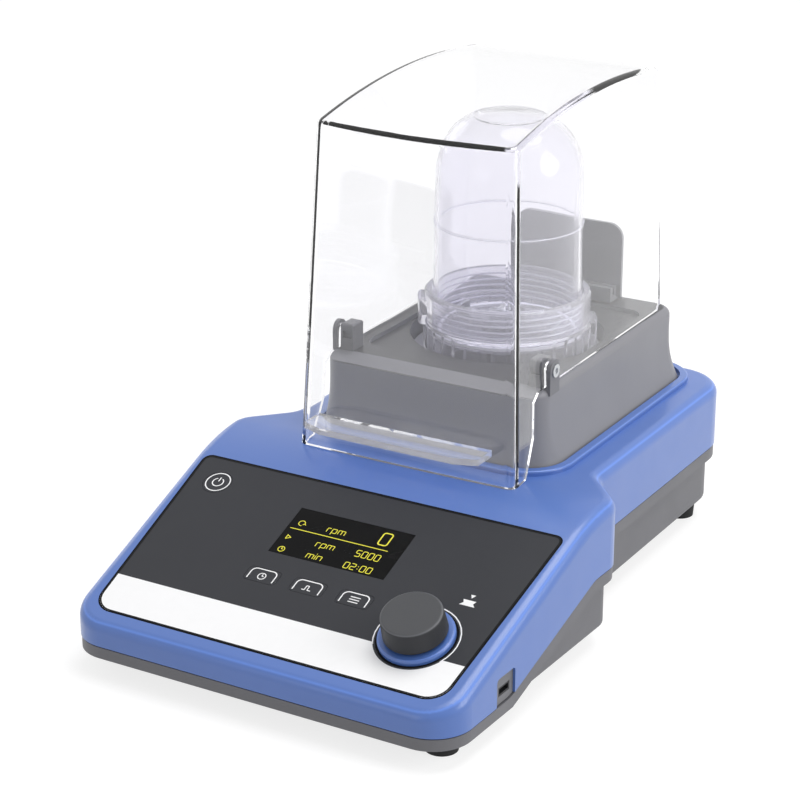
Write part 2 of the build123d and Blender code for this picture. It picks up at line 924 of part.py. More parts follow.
# Control panel pieces
window_seam = 0.12
module_width = 56.0
module_length = 30.0
module_depth = 4.0
module_rail_width = 3.0
switch_size = 6.0
switch_height = 3.2
switch_plunger_radius = 1.5
switch_plunger_height = 1.0
stem_gap = 0.6
encoder_width = 12.4
encoder_length = 13.0
encoder_height = 7.2
bush_top = -0.9
cavity_radius = 4.0
cavity_low = -12.0
cavity_high = -8.0
plunger_radius = 3.6
plunger_low = -10.4
plunger_high = -9.3
spindle_low = -9.0
spindle_high = 8.6
knob_wall = 1.8
knob_crown = 2.0
knob_hub_radius = 5.0
knob_round = 1.0
board_half_width = 66.0
board_front_v = 14.0
board_rear_v = 80.0
board_notch = 8.0
connector_width = 18.0
connector_length = 5.0
connector_height = 4.0
connector_v = 12.0
board_screw_head_radius = 2.2
board_screw_head_height = 1.4


def control_foil():
    foil = panel_plate(foil_face(), 0, 0, -foil_thickness, 0)
    foil -= panel_box(0, display_v, display_width, display_length, -overrun, overrun)
    foil -= panel_rod(knob_hole_radius, knob_u, knob_v, -overrun, overrun)
    for u, v in key_places:
        foil -= panel_plate(key_face(key_seam), u, v, -overrun, overrun)
    foil -= panel_plate(power_face(key_seam), power_u, power_v, -overrun, overrun)
    return foil


def display_window():
    width = display_width - 2 * window_seam
    length = display_length - 2 * window_seam
    return panel_box(0, display_v, width, length, -foil_thickness, 0)


def display_module():
    module = panel_box(0, display_v, module_width, module_length, panel_inside - module_depth, panel_inside)
    rail_u = (module_width - module_rail_width) / 2
    rail = panel_box(rail_u, display_v, module_rail_width, module_length, board_level, panel_inside)
    return module + both_sides(rail)


def control_board():
    low = board_level - board_thickness
    board = panel_block(-board_half_width, board_half_width, board_front_v, board_rear_v, low, board_level)
    hole = board_screw_radius + seat_clearance
    for u, v in board_post_places:
        board -= panel_rod(hole, u, v, low - overrun, board_level + overrun)
    socket_v = board_rear_v - connector_v
    board += panel_box(0, socket_v, connector_width, connector_length, low - connector_height, low)
    return board


def board_screws():
    screws = []
    low = board_level - board_thickness
    length = board_thickness + board_screw_bite
    for u, v in board_post_places:
        solid = screw(board_screw_radius, length, board_screw_head_radius, board_screw_head_height)
        screws.append(on_panel(solid, u, v, low))
    return Compound(children=screws)


def key_switches():
    switches = []
    top = board_level + switch_height
    for u, v in switch_places:
        case = panel_box(u, v, switch_size, switch_size, board_level, top)
        switches.append(case + panel_rod(switch_plunger_radius, u, v, top, top + switch_plunger_height))
    return Compound(children=switches)


stem_low = board_level + switch_height + switch_plunger_height + stem_gap


def panel_key(face, u, v):
    """A key cap in its pocket, with the stem that presses the switch."""
    cap = panel_plate(face, u, v, -foil_thickness, 0)
    return cap + panel_rod(key_stem_radius, u, v, stem_low, -foil_thickness)


def encoder_body():
    top = board_level + encoder_height
    body = panel_box(knob_u, knob_v, encoder_width, encoder_length, board_level, top)
    body += panel_rod(bush_radius, knob_u, knob_v, top, bush_top)
    body -= panel_rod(shaft_radius + running_clearance, knob_u, knob_v, cavity_low, overrun)
    body -= panel_rod(cavity_radius, knob_u, knob_v, cavity_low, cavity_high)
    return body


def encoder_plunger():
    return panel_rod(plunger_radius, knob_u, knob_v, plunger_low, plunger_high)


def knob_spindle():
    return panel_rod(shaft_radius, knob_u, knob_v, spindle_low, spindle_high)


def knob():
    """A turning knob with a drafted grip, a crown and a hub inside."""
    height = knob_top - knob_low
    grip = Cone(knob_radius, knob_top_radius, height)
    grip = fillet(grip.edges().group_by(Axis.Z)[-1], knob_round)
    grip = on_panel(grip, knob_u, knob_v, knob_low + height / 2)
    room = panel_rod(knob_top_radius - knob_wall, knob_u, knob_v, knob_low - overrun, knob_top - knob_crown)
    hub = panel_rod(knob_hub_radius, knob_u, knob_v, knob_low, knob_top - knob_crown)
    return grip - room + hub - panel_rod(shaft_radius, knob_u, knob_v, knob_low - overrun, spindle_high)


# Boards, power and interface
sink_x = -22.0
sink_back = 118.0
sink_width = 34.0
sink_length = 40.0
sink_base = 3.0
sink_height = 18.0
fin_count = 8
fin_share = 0.32
capacitor_radius = 6.3
capacitor_height = 20.0
capacitor_places = [(16.0, 104.0), (32.0, 104.0), (16.0, 122.0)]
capacitor_cap = 0.8
window_plate_inset = 0.9
window_plate_wall = 1.6
socket_front_back = 33.4
socket_rear_back = 40.8
socket_low = 15.6
socket_high = 19.0
socket_wall = 0.7
socket_depth = 3.7
socket_cavity = 2.7
socket_depth_share = 0.6
pin_share = 0.85


def drive_board():
    x = drive_board_half_width
    top = drive_board_low + drive_board_thickness
    board = block(-x, x, drive_board_front_back, drive_board_rear_back, drive_board_low, top)
    for place_x, back in board_stand_places():
        board -= column(place_x, back, drive_board_low - overrun, top + overrun, board_stand_screw_radius)
    return board


def heat_sink():
    low = drive_board_low + drive_board_thickness
    half = sink_width / 2
    front = sink_back - sink_length / 2
    rear = sink_back + sink_length / 2
    pieces = [block(sink_x - half, sink_x + half, front, rear, low, low + sink_base)]
    pitch = sink_width / fin_count
    fin = pitch * fin_share
    for index in range(fin_count):
        x = sink_x - half + pitch * (index + fin_share)
        pieces.append(block(x, x + fin, front, rear, low + sink_base, low + sink_height))
    return pieces[0] + pieces[1:]


def capacitors():
    low = drive_board_low + drive_board_thickness
    cans = []
    for x, back in capacitor_places:
        can = column(x, back, low, low + capacitor_height, capacitor_radius)
        cans.append(chamfer(can.edges().filter_by(GeomType.CIRCLE), capacitor_cap))
    return Compound(children=cans)


def power_inlet():
    """The low voltage inlet at the rear."""
    inlet = inlet_envelope()
    middle = (inlet_low + inlet_high) / 2
    rear = body_depth - recess_inset
    along = Rot(right_angle, 0, 0)
    depth = inlet_depth * socket_depth_share
    jack = Pos(inlet_x, behind(rear - depth / 2), middle) * along * Cylinder(inlet_jack_radius, depth)
    pin_length = depth * pin_share
    pin = along * Cylinder(inlet_pin_radius, pin_length)
    pin = Pos(inlet_x, behind(rear - depth + pin_length / 2), middle) * pin
    return inlet - jack + pin


def socket_block(extra=0.0):
    reach = side_reach()
    return block(
        reach - socket_depth - extra, reach + overrun, socket_front_back - extra, socket_rear_back + extra,
        socket_low - extra, socket_high + extra,
    )


def interface_panel():
    outer = extrude(plan_face(window_plate_inset), deck_height)
    inner = extrude(plan_face(window_plate_inset + window_plate_wall), deck_height)
    plate = (outer - inner) & window_block()
    return plate - under_seam() - socket_block()


def interface_socket():
    body = socket_block() & extrude(plan_face(window_plate_inset + seat_clearance), deck_height)
    reach = side_reach()
    cavity = block(
        reach - socket_cavity, reach + overrun,
        socket_front_back + socket_wall, socket_rear_back - socket_wall,
        socket_low + socket_wall, socket_high - socket_wall,
    )
    return body - cavity


# Motor
can_radius = 21.0
can_wall = 1.8
can_length = 41.0
can_top_thickness = 2.4
endcap_thickness = 3.0
bearing_radius = 8.0
bearing_width = 5.0
bearing_upper_drop = 7.6
seat_wall = 2.0
magnet_wall = 5.6
magnet_rise = 7.0
magnet_length = 23.0
magnet_count = 2
magnet_half_deg = 72.0
core_radius = 12.6
core_rise = 9.0
core_length = 19.0
core_tooth_count = 7
core_tooth_half_deg = 18.0
core_inner_radius = 7.4
fan_gap = 1.8
fan_height = 7.0
fan_radius = 20.0
fan_hub_radius = 5.0
fan_plate = 1.2
fan_blade_count = 9
fan_blade_thickness = 1.4
fan_blade_tilt_deg = 24.0
shaft_end = 1.6
bracket_corner_radius = 6.0
bracket_bore = 10.4
bracket_notch_radius = 11.0
damper_radius = 5.0
damper_waist = 4.0
damper_groove = 2.0
damper_bore = 1.9
bracket_head_radius = 3.2
bracket_head_height = 2.0
can_low = bracket_low - can_length
endcap_low = can_low - endcap_thickness
bearing_lower_low = can_low
bearing_upper_low = bracket_low - bearing_upper_drop
magnet_low = can_low + magnet_rise
magnet_high = magnet_low + magnet_length
core_low = can_low + core_rise
core_high = core_low + core_length
fan_high = endcap_low - fan_gap
fan_low = fan_high - fan_height
shaft_low = fan_low - shaft_end


def motor_can():
    can = ring(can_radius, can_radius - can_wall, can_low, bracket_low)
    lid = ring(can_radius, shaft_radius + loose_clearance, bracket_low - can_top_thickness, bracket_low)
    seat_high = bearing_upper_low + bearing_width
    seat_top = bracket_low - can_top_thickness / 2
    seat = ring(bearing_radius + seat_wall, bearing_radius, bearing_upper_low, seat_top)
    inner_lid = ring(bearing_radius + seat_wall, shaft_radius + loose_clearance, seat_high, bracket_low)
    return can + lid + seat + inner_lid


def motor_endcap():
    bore = shaft_radius + loose_clearance
    cap = ring(can_radius, bore, endcap_low, can_low)
    seat = ring(bearing_radius + seat_wall, bearing_radius, can_low, bearing_lower_low + bearing_width)
    return cap + seat


def motor_bearings():
    bore = shaft_radius + running_clearance
    lower = ring(bearing_radius, bore, bearing_lower_low, bearing_lower_low + bearing_width)
    upper = ring(bearing_radius, bore, bearing_upper_low, bearing_upper_low + bearing_width)
    return Compound(children=[lower, upper])


def motor_magnets():
    outer = can_radius - can_wall
    piece = sector(outer - magnet_wall, outer, -magnet_half_deg, magnet_half_deg, magnet_low, magnet_high)
    return Compound(children=around(piece, magnet_count))


def rotor_core():
    core = ring(core_inner_radius, shaft_radius, core_low, core_high)
    tooth = sector(
        core_inner_radius - post_bite, core_radius, -core_tooth_half_deg, core_tooth_half_deg,
        core_low, core_high,
    )
    return core + around(tooth, core_tooth_count)


def motor_shaft():
    shaft = column(0, axis_back, shaft_low, coupling_high, shaft_radius)
    return chamfer(shaft.edges().filter_by(GeomType.CIRCLE), shaft_radius * screw_round_share / 2)


def cooling_fan():
    hub = ring(fan_hub_radius, shaft_radius, fan_low, fan_high)
    plate = ring(fan_radius, shaft_radius, fan_high - fan_plate, fan_high)
    half = fan_blade_thickness / 2
    reach = fan_radius - fan_hub_radius
    blade = Box(reach, 2 * half, fan_high - fan_low)
    blade = Rot(0, 0, fan_blade_tilt_deg) * blade
    middle = fan_hub_radius + reach / 2
    blade = Pos(middle, axis_y, (fan_low + fan_high) / 2) * blade
    limit = column(0, axis_back, fan_low, fan_high, fan_radius)
    blades = [piece & limit for piece in around(blade, fan_blade_count)]
    return hub + plate + blades


def motor_bracket():
    side = 2 * bracket_half
    plate = extrude(RectangleRounded(side, side, bracket_corner_radius), bracket_thickness)
    plate = Pos(0, axis_y, bracket_low) * plate
    high = bracket_low + bracket_thickness
    plate -= column(0, axis_back, bracket_low - overrun, high + overrun, bracket_bore)
    notch = Pos(bracket_half, axis_y, bracket_low) * Cylinder(bracket_notch_radius, 2 * overrun)
    plate -= around(notch, len(bracket_places))
    hole = bracket_screw_radius + seat_clearance
    plate -= [column(x, back, bracket_low - overrun, high + overrun, hole) for x, back in bracket_places]
    return plate


def motor_dampers():
    """Rubber cushions between the motor's bracket and the platform."""
    low = bracket_low + bracket_thickness
    pads = []
    for x, back in bracket_places:
        pad = ring(damper_radius, damper_bore, low, damper_top, x, back)
        middle = (low + damper_top) / 2
        half = damper_groove / 2
        waist = ring(damper_radius + overrun, damper_waist, middle - half, middle + half, x, back)
        pads.append(pad - waist)
    return Compound(children=pads)


def bracket_screws():
    length = damper_top - bracket_low + bracket_screw_bite
    solid = screw(bracket_screw_radius, length, bracket_head_radius, bracket_head_height)
    return Compound(children=[Pos(x, behind(back), bracket_low) * solid for x, back in bracket_places])


# Hood and its hinge
leaf_half_width = 24.0
leaf_gap = 2.4
leaf_thickness = 2.4
leaf_rise = 32.0
leaf_corner_radius = 6.0
shoe_half_width = 22.0
shoe_reach = 4.8
shoe_gap = 0.7
shoe_thickness = 5.9
arm_half_width = 14.0
arm_thickness = 2.4
magnet_half_width = 3.0
magnet_height = 3.0
magnet_setback = 0.2
magnet_half_length = 1.0
sensor_half_width = 5.0
sensor_height = 3.0
leg_setback = 1.7
leg_reach = 22.6
leg_reach_shares = (0.0, 0.363, 0.425, 0.655, 0.69, 0.85, 1.0)
leg_rise_shares = (0.0, 0.032, 0.115, 0.478, 0.894, 0.984, 1.0)
side_rear_setback = 5.8
side_rear_gap = 1.6
notch_half_width = 2.9
notch_rise = 9.2
hood_section_margin = 6.0
leaf_front_back = hood_rear_back + leaf_gap
leaf_top_height = platform_top_height + leaf_rise
shoe_front_back = hood_rear_back - shoe_reach
shoe_low_height = platform_top_height + shoe_gap
shoe_top_height = shoe_low_height + shoe_thickness
magnet_back = leaf_front_back + magnet_setback
leg_back = hood_front_back + leg_setback
side_rear_back = hood_rear_back - side_rear_setback
side_rear_height = platform_top_height + side_rear_gap
notch_top_height = platform_top_height + notch_rise


def hood_section(height, inset):
    """One level of the hood's outer form, with a front that bows out a little."""
    span = hood_crest_height - hood_foot_height
    share = (height - hood_foot_height) / span
    half = hood_foot_half_width + (hood_top_half_width - hood_foot_half_width) * share - inset
    front = hood_front_back + hood_front_lean * share + inset
    rear = hood_rear_back - hood_rear_lean * share - inset
    bulge = hood_bulge_foot + (hood_bulge_top - hood_bulge_foot) * share
    radius = hood_corner_radius - inset
    corner = front + bulge
    outline = [
        ThreePointArc((-half, behind(corner)), (0, behind(front)), (half, behind(corner))),
        Line((half, behind(corner)), (half, behind(rear))),
        Line((half, behind(rear)), (-half, behind(rear))),
        Line((-half, behind(rear)), (-half, behind(corner))),
    ]
    face = make_face(outline)
    return Pos(0, 0, height) * fillet(face.vertices(), radius)


def hood_block(inset=0.0):
    """The hood's solid form, cut to its arched roof."""
    low = hood_foot_height - hood_section_margin
    high = hood_crest_height + hood_section_margin
    tower = loft([hood_section(low, inset), hood_section(high, inset)])
    radius = hood_roof_radius - inset
    centre = hood_crest_height - hood_roof_radius
    return tower & across_rod(radius, -shoulder_width, shoulder_width, hood_crest_back, centre)


def hood_relief():
    """What is open below the hood's sides and rear."""
    span = hood_side_height - hood_foot_height
    legs = [
        (leg_back + leg_reach * along, hood_foot_height + span * up)
        for along, up in zip(leg_reach_shares, leg_rise_shares)
    ]
    low = hood_foot_height - hood_section_margin - overrun
    far = hood_rear_back + overrun
    points = [(leg_back, low)] + legs
    points += [(side_rear_back, side_rear_height), (shoe_front_back, hood_rear_height)]
    points += [(far, hood_rear_height), (far, low)]
    return side_solid(points, -shoulder_width, shoulder_width)


def hood():
    shell = hood_block()
    tops = shell.faces().filter_by(lambda face: face.normal_at().Z > math.cos(panel_slope))
    shell = fillet(tops.sort_by(Axis.Z)[-1].edges(), hood_roof_round)
    shell -= hood_block(hood_wall)
    low = hood_foot_height - hood_section_margin - overrun
    shell -= block(-shoulder_width, shoulder_width, 0, body_depth, low, hood_foot_height)
    shell -= hood_relief()
    middle = (post_front_back + post_rear_back) / 2
    slot_top = notch_top_height - notch_half_width
    slot = block(
        -shoulder_width, shoulder_width, middle - notch_half_width, middle + notch_half_width,
        hood_side_height - overrun, slot_top,
    )
    slot += across_rod(notch_half_width, -shoulder_width, shoulder_width, middle, slot_top)
    return shell - slot


def hood_handle():
    """The clear ledge on the hood's front, for the fingers."""
    rear = hood_front_back + hood_wall
    front = hood_front_back - ledge_depth
    points = [
        (ledge_half_width, behind(rear)),
        (ledge_half_width, behind(front + ledge_chamfer_depth)),
        (ledge_front_half_width, behind(front)),
        (-ledge_front_half_width, behind(front)),
        (-ledge_half_width, behind(front + ledge_chamfer_depth)),
        (-ledge_half_width, behind(rear)),
    ]
    face = make_face(Polyline(*points, close=True))
    ledge = Pos(0, 0, ledge_low_height) * extrude(face, ledge_top_height - ledge_low_height)
    return ledge - hood_block()


def hinge_plate():
    """The hinge leaf: a shoe under the hood's rear wall, an upright leaf and a knuckle."""
    leaf_rear = leaf_front_back + leaf_thickness
    leaf_face = Rectangle(2 * leaf_half_width, leaf_top_height - shoe_low_height)
    leaf_face = fillet(leaf_face.vertices().group_by(Axis.Y)[-1], leaf_corner_radius)
    leaf = extrude(leaf_face, leaf_thickness)
    middle = (leaf_top_height + shoe_low_height) / 2
    leaf = Pos(0, behind(leaf_rear), middle) * Rot(right_angle, 0, 0) * leaf
    half = shoe_half_width
    shoe = block(-half, half, shoe_front_back, leaf_rear, shoe_low_height, shoe_top_height)
    wall = hood_block() - hood_block(hood_wall)
    wall -= block(-shoulder_width, shoulder_width, 0, body_depth, 0, hood_rear_height)
    shoe -= wall
    arm = side_solid(
        [
            (leaf_front_back, shoe_low_height),
            (leaf_front_back, shoe_low_height + arm_thickness),
            (hinge_back + hinge_knuckle_radius, shoe_low_height + arm_thickness),
            (hinge_back + hinge_knuckle_radius, hinge_height),
            (hinge_back, hinge_height),
            (hinge_back - hinge_knuckle_radius, hinge_height),
            (hinge_back - hinge_knuckle_radius, shoe_low_height),
        ],
        -arm_half_width,
        arm_half_width,
    )
    knuckle = across_rod(hinge_knuckle_radius, -arm_half_width, arm_half_width, hinge_back, hinge_height)
    bore = hinge_pin_radius + running_clearance
    plate = leaf + shoe + arm + knuckle
    plate -= across_rod(bore, -leaf_half_width, leaf_half_width, hinge_back, hinge_height)
    return plate - hood_magnet()


def hood_magnet():
    front = magnet_back - magnet_half_length
    rear = magnet_back + magnet_half_length
    high = shoe_low_height + magnet_height
    return block(-magnet_half_width, magnet_half_width, front, rear, shoe_low_height, high)


def lid_sensor():
    front = magnet_back - sensor_height
    rear = magnet_back + magnet_half_length
    low = ceiling_height - sensor_height
    return block(-sensor_half_width, sensor_half_width, front, rear, low, ceiling_height)


def hinge_pin():
    return across_rod(hinge_pin_radius, -hinge_lug_outer, hinge_lug_outer, hinge_back, hinge_height)


# Tube: base, cup, seal and beater
base_ring_radius = 32.0
base_ring_bore = 28.5
base_ring_gap = 0.5
base_ring_length = 11.7
collar_radius = 31.3
collar_gap = 0.6
collar_length = 11.4
neck_radius = 30.6
spigot_radius = 27.0
spigot_wall = 2.4
spigot_gap = 1.0
shelf_rise = 5.7
shelf_thickness = 2.0
hub_radius = 9.0
hub_length = 6.0
beater_bearing_radius = 6.0
beater_bearing_recess = 0.8
cup_seat_gap = 1.3
flute_count = 36
flute_size = 1.1
grip_radius = 34.0
grip_half_deg = 13.0
grip_right_deg = 30.5
grip_right_rise = 2.7
grip_left_drop = 0.4
grip_left_length = 9.2
edge_round = 0.8
seal_ring_outer = 28.1
seal_ring_inner = 25.0
socket_radius = 6.6
socket_gap = 0.4
socket_roof = 2.0
beater_bite = 0.2
beater_end = 6.8
blade_radius = 20.0
blade_rise = 2.2
blade_thickness = 1.6
blade_half_width = 4.5
blade_arm_count = 2
blade_tip_height = 4.6
blade_hub_radius = 6.0
blade_hub_length = 4.8
cup_ring_length = 41.7
cup_ring_rise = 0.25
cup_ring_half = 0.6
dome_share = 0.55
dome_bow = 1.6
crown_rise_share = 0.16
base_ring_low = holder_top_height + base_ring_gap
base_ring_high = base_ring_low + base_ring_length
collar_low = base_ring_high + collar_gap
collar_high = collar_low + collar_length
spigot_low = well_floor_height + spigot_gap
base_floor_low = base_ring_low + shelf_rise
base_floor_high = base_floor_low + shelf_thickness
hub_low = base_floor_low - hub_length
beater_bearing_low = hub_low + beater_bearing_recess
grip_right_low = base_ring_low + grip_right_rise
grip_left_low = base_ring_high - grip_left_drop
grip_left_high = grip_left_low + grip_left_length
socket_hex_low = coupling_collar_high + socket_gap
socket_hex_high = coupling_high + socket_roof
beater_low = socket_hex_high - beater_bite
blade_low = base_floor_high + blade_rise
beater_high = blade_low + beater_end
blade_hub_high = blade_low + blade_hub_length
cup_mouth_height = base_floor_high + cup_seat_gap
tube_shoulder_height = cup_mouth_height + tube_shoulder_length
tube_straight_height = cup_mouth_height + tube_straight_length
tube_dome_height = cup_mouth_height + tube_dome_length
tube_crown_height = cup_mouth_height + tube_crown_length
tube_top_height = cup_mouth_height + tube_top_length
cup_ring_height = cup_mouth_height + cup_ring_length


def tube_base():
    """The tube's foot: gripped ring, cup collar, bayonet spigot and beater hub."""
    profile = [
        (base_ring_bore, base_floor_high),
        (base_ring_bore, collar_high),
        (collar_radius - edge_round, collar_high),
        (collar_radius, collar_high - edge_round),
        (collar_radius, collar_low),
        (neck_radius, collar_low),
        (neck_radius, base_ring_high),
        (base_ring_radius - edge_round, base_ring_high),
        (base_ring_radius, base_ring_high - edge_round),
        (base_ring_radius, base_ring_low + edge_round),
        (base_ring_radius - edge_round, base_ring_low),
        (spigot_radius, base_ring_low),
        (spigot_radius, spigot_low),
        (spigot_radius - spigot_wall, spigot_low),
        (spigot_radius - spigot_wall, base_floor_low),
        (hub_radius, base_floor_low),
        (hub_radius, hub_low),
        (beater_bearing_radius, hub_low),
        (beater_bearing_radius, base_floor_high),
    ]
    base = turned(profile)
    flute = Box(flute_size, flute_size, base_ring_high - base_ring_low - 2 * edge_round)
    flute = Rot(0, 0, right_angle / 2) * flute
    flute = Pos(base_ring_radius, axis_y, (base_ring_high + base_ring_low) / 2) * flute
    base -= around(flute, flute_count)
    lug = sector(
        spigot_radius - spigot_wall / 2, lug_radius, -lug_half_deg, lug_half_deg,
        lug_low_height, lug_high_height,
    )
    base += around(lug, bayonet_count, -twist_deg)
    right = sector(
        neck_radius, grip_radius, grip_right_deg - grip_half_deg, grip_right_deg + grip_half_deg,
        grip_right_low, base_ring_high,
    )
    left_deg = grip_right_deg + half_turn
    left = sector(
        neck_radius, grip_radius, left_deg - grip_half_deg, left_deg + grip_half_deg,
        grip_left_low, grip_left_high,
    )
    for grip in (right, left):
        outer = grip.edges().filter_by(Axis.Z).sort_by_distance((0, axis_y))[2:]
        base += fillet(outer, edge_round * 2)
    return base


def beater_bearing():
    return ring(
        beater_bearing_radius, shaft_radius + running_clearance, beater_bearing_low, base_floor_high,
    )


def tube_seal():
    low = base_floor_high + seat_clearance
    return ring(seal_ring_outer, seal_ring_inner, low, cup_mouth_height - seat_clearance)


def cup_outline(inset):
    """The cup's half section on one side of its wall, from the mouth to the top."""
    return [
        (tube_radius - inset, cup_mouth_height),
        (tube_radius - inset, tube_shoulder_height),
        (tube_straight_radius - inset, tube_straight_height),
        (tube_dome_radius - inset, tube_dome_height - inset * dome_share),
        (tube_top_radius - inset * dome_share, tube_crown_height - inset),
        (0, tube_top_height - inset),
    ]


def cup_solid(inset, mouth):
    corners = cup_outline(inset)
    low, shoulder, straight, dome, top, pole = [(radius, 0, height) for radius, height in corners]
    middle_radius = (straight[0] + dome[0]) / 2 + dome_bow * dome_share
    middle_height = (straight[2] + dome[2]) / 2 + dome_bow * dome_share / 2
    crown_radius = (dome[0] + top[0]) / 2 + dome_bow * dome_share
    crown_height = (dome[2] + top[2]) / 2 + dome_bow * dome_share
    edges = [
        Line((0, 0, mouth), (low[0], 0, mouth)),
        Line((low[0], 0, mouth), shoulder),
        Line(shoulder, straight),
        ThreePointArc(straight, (middle_radius, 0, middle_height), dome),
        ThreePointArc(dome, (crown_radius, 0, crown_height), top),
        Spline(top, pole, tangents=[(-1, 0, crown_rise_share), (-1, 0, 0)]),
        Line(pole, (0, 0, mouth)),
    ]
    return Pos(0, axis_y, 0) * revolve(make_face(edges), Axis.Z)


def tube_cup():
    """The clear, domed cup."""
    cup = cup_solid(0.0, cup_mouth_height)
    band_radius = (tube_radius + tube_straight_radius) / 2 + cup_ring_rise
    low = cup_ring_height - cup_ring_half
    cup += column(0, axis_back, low, cup_ring_height + cup_ring_half, band_radius)
    return cup - cup_solid(tube_wall, cup_mouth_height - overrun)


def beater_shaft():
    """The beater's spindle, with a hexagon socket that drops over the coupling."""
    socket = column(0, axis_back, socket_hex_low, socket_hex_high, socket_radius)
    room = coupling_high - socket_hex_low + loose_clearance
    hexed = Pos(0, axis_y, socket_hex_low) * extrude(hexagon(coupling_flats + 2 * loose_clearance), room)
    shaft = column(0, axis_back, beater_low, beater_high, shaft_radius)
    shaft = chamfer(shaft.edges().group_by(Axis.Z)[-1], shaft_radius * screw_round_share)
    return socket - hexed + shaft


def beater_blade():
    """A two-armed beater with raised tips."""
    high = blade_low + blade_thickness
    hub = ring(blade_hub_radius, shaft_radius, blade_low, blade_hub_high)
    half = blade_half_width
    arm = block(-blade_radius, blade_radius, axis_back - half, axis_back + half, blade_low, high)
    arm &= column(0, axis_back, blade_low, high, blade_radius)
    arm -= column(0, axis_back, blade_low - overrun, high + overrun, shaft_radius)
    tip = sector(
        blade_radius - blade_thickness, blade_radius, -grip_half_deg, grip_half_deg,
        blade_low, blade_low + blade_tip_height,
    )
    return hub + arm + around(tip, blade_arm_count)


# Writing the nodes
nodes = {
    "upper_housing": upper_housing,
    "lower_housing": lower_housing,
    "rubber_feet": rubber_feet,
    "housing_screws": housing_screws,
    "platform_housing": platform_housing,
    "platform_screws": platform_screws,
    "tube_holder": tube_holder,
    "drive_seal": drive_seal,
    "guide_post_left": lambda: guide_post(-1),
    "guide_post_right": lambda: guide_post(1),
    "post_pins": post_pins,
    "control_foil": control_foil,
    "display_window": display_window,
    "display_module": display_module,
    "control_board": control_board,
    "board_screws": board_screws,
    "key_switches": key_switches,
    "encoder_body": encoder_body,
    "encoder_plunger": encoder_plunger,
    "knob_spindle": knob_spindle,
    "knob": knob,
    "power_key": lambda: panel_key(power_face(), power_u, power_v),
    "drive_board": drive_board,
    "heat_sink": heat_sink,
    "capacitors": capacitors,
    "power_inlet": power_inlet,
    "interface_panel": interface_panel,
    "interface_socket": interface_socket,
    "motor_can": motor_can,
    "motor_endcap": motor_endcap,
    "motor_bearings": motor_bearings,
    "motor_magnets": motor_magnets,
    "rotor_core": rotor_core,
    "motor_shaft": motor_shaft,
    "cooling_fan": cooling_fan,
    "drive_coupling": drive_coupling,
    "motor_bracket": motor_bracket,
    "motor_dampers": motor_dampers,
    "bracket_screws": bracket_screws,
    "hinge_pin": hinge_pin,
    "hinge_plate": hinge_plate,
    "hood": hood,
    "hood_handle": hood_handle,
    "hood_magnet": hood_magnet,
    "lid_sensor": lid_sensor,
    "tube_base": tube_base,
    "tube_seal": tube_seal,
    "tube_cup": tube_cup,
    "beater_shaft": beater_shaft,
    "beater_blade": beater_blade,
    "beater_bearing": beater_bearing,
}

for name, make in nodes.items():
    export_step(make(), f"parts/{name}.step")
for name, (u, v) in zip(key_names, key_places):
    export_step(panel_key(key_face(), u, v), f"parts/{name}.step")
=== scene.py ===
"""Looks of the laboratory tube mill: finishes, panel print, display read-out and studio stage."""

import math

import bmesh
import bpy
from mathutils import Matrix, Vector


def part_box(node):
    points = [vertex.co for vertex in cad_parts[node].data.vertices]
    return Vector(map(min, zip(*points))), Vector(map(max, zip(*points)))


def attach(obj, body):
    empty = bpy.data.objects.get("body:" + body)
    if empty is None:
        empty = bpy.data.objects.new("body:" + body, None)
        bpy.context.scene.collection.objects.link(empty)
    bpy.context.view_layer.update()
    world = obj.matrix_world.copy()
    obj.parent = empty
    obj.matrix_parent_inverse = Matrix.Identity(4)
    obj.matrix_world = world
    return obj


bl_info = {
    "name": "Tube mill looks",
    "version": (1, 0, 0),
    "blender": (4, 5, 0),
    "location": "View3D > Sidebar > Tube Mill",
    "description": "Finishes and fine details around the packed tube mill",
    "category": "Object",
}

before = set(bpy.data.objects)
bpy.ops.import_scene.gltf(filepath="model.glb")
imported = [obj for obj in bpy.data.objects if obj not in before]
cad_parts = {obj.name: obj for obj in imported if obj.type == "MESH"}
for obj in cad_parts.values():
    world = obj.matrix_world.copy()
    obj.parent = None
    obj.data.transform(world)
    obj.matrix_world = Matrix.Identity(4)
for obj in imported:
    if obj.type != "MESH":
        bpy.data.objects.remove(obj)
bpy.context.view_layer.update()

MM = 0.001
PRINT_LIFT = 0.02 * MM
PRINT_DEPTH = 0.03 * MM
PANEL_SLOPE = math.radians(20)
FOIL_LENGTH = 84.2 * MM
UPWARDS = (0, 0, 1)
WELD_REACH = 0.001 * MM

# Fineness of the arcs in the print, of the rings round the cup, and of one turn of the thread
DEGREES_A_STEP = 11
RING_STEPS = 96
RING_SIDES = 10
THREAD_STEPS = 80

# Corners of the press sign beside the knob, in millimetres on the foil
PRESS_PLATE = ((55.0, 43.1), (60.9, 43.1), (59.8, 44.4), (60.4, 45.8), (55.4, 45.8), (56.1, 44.4))
PRESS_ARROW = ((57.0, 48.5), (58.9, 48.5), (58.0, 46.8))

# Figures on the display: name, marks, left and lower edge, height, width and line, in millimetres
DISPLAY_FIGURES = (
    ("speed_unit", "rpm", -8.6, 60.7, 2.0, 1.8, 0.29),
    ("speed_value", "0", 12.6, 60.7, 6.1, 3.7, 0.5),
    ("set_unit", "rpm", -8.6, 52.7, 2.0, 1.8, 0.29),
    ("set_value", "5000", 7.7, 52.7, 3.1, 1.8, 0.3),
    ("time_unit", "min", -9.0, 46.5, 2.0, 1.8, 0.29),
    ("time_value", "02:00", 6.6, 46.2, 2.9, 1.8, 0.3),
)
FIGURE_GAP = 0.8 * MM
FIGURE_WIDTHS = {":": 0.35, "r": 0.7, "m": 1.5, "i": 0.0}

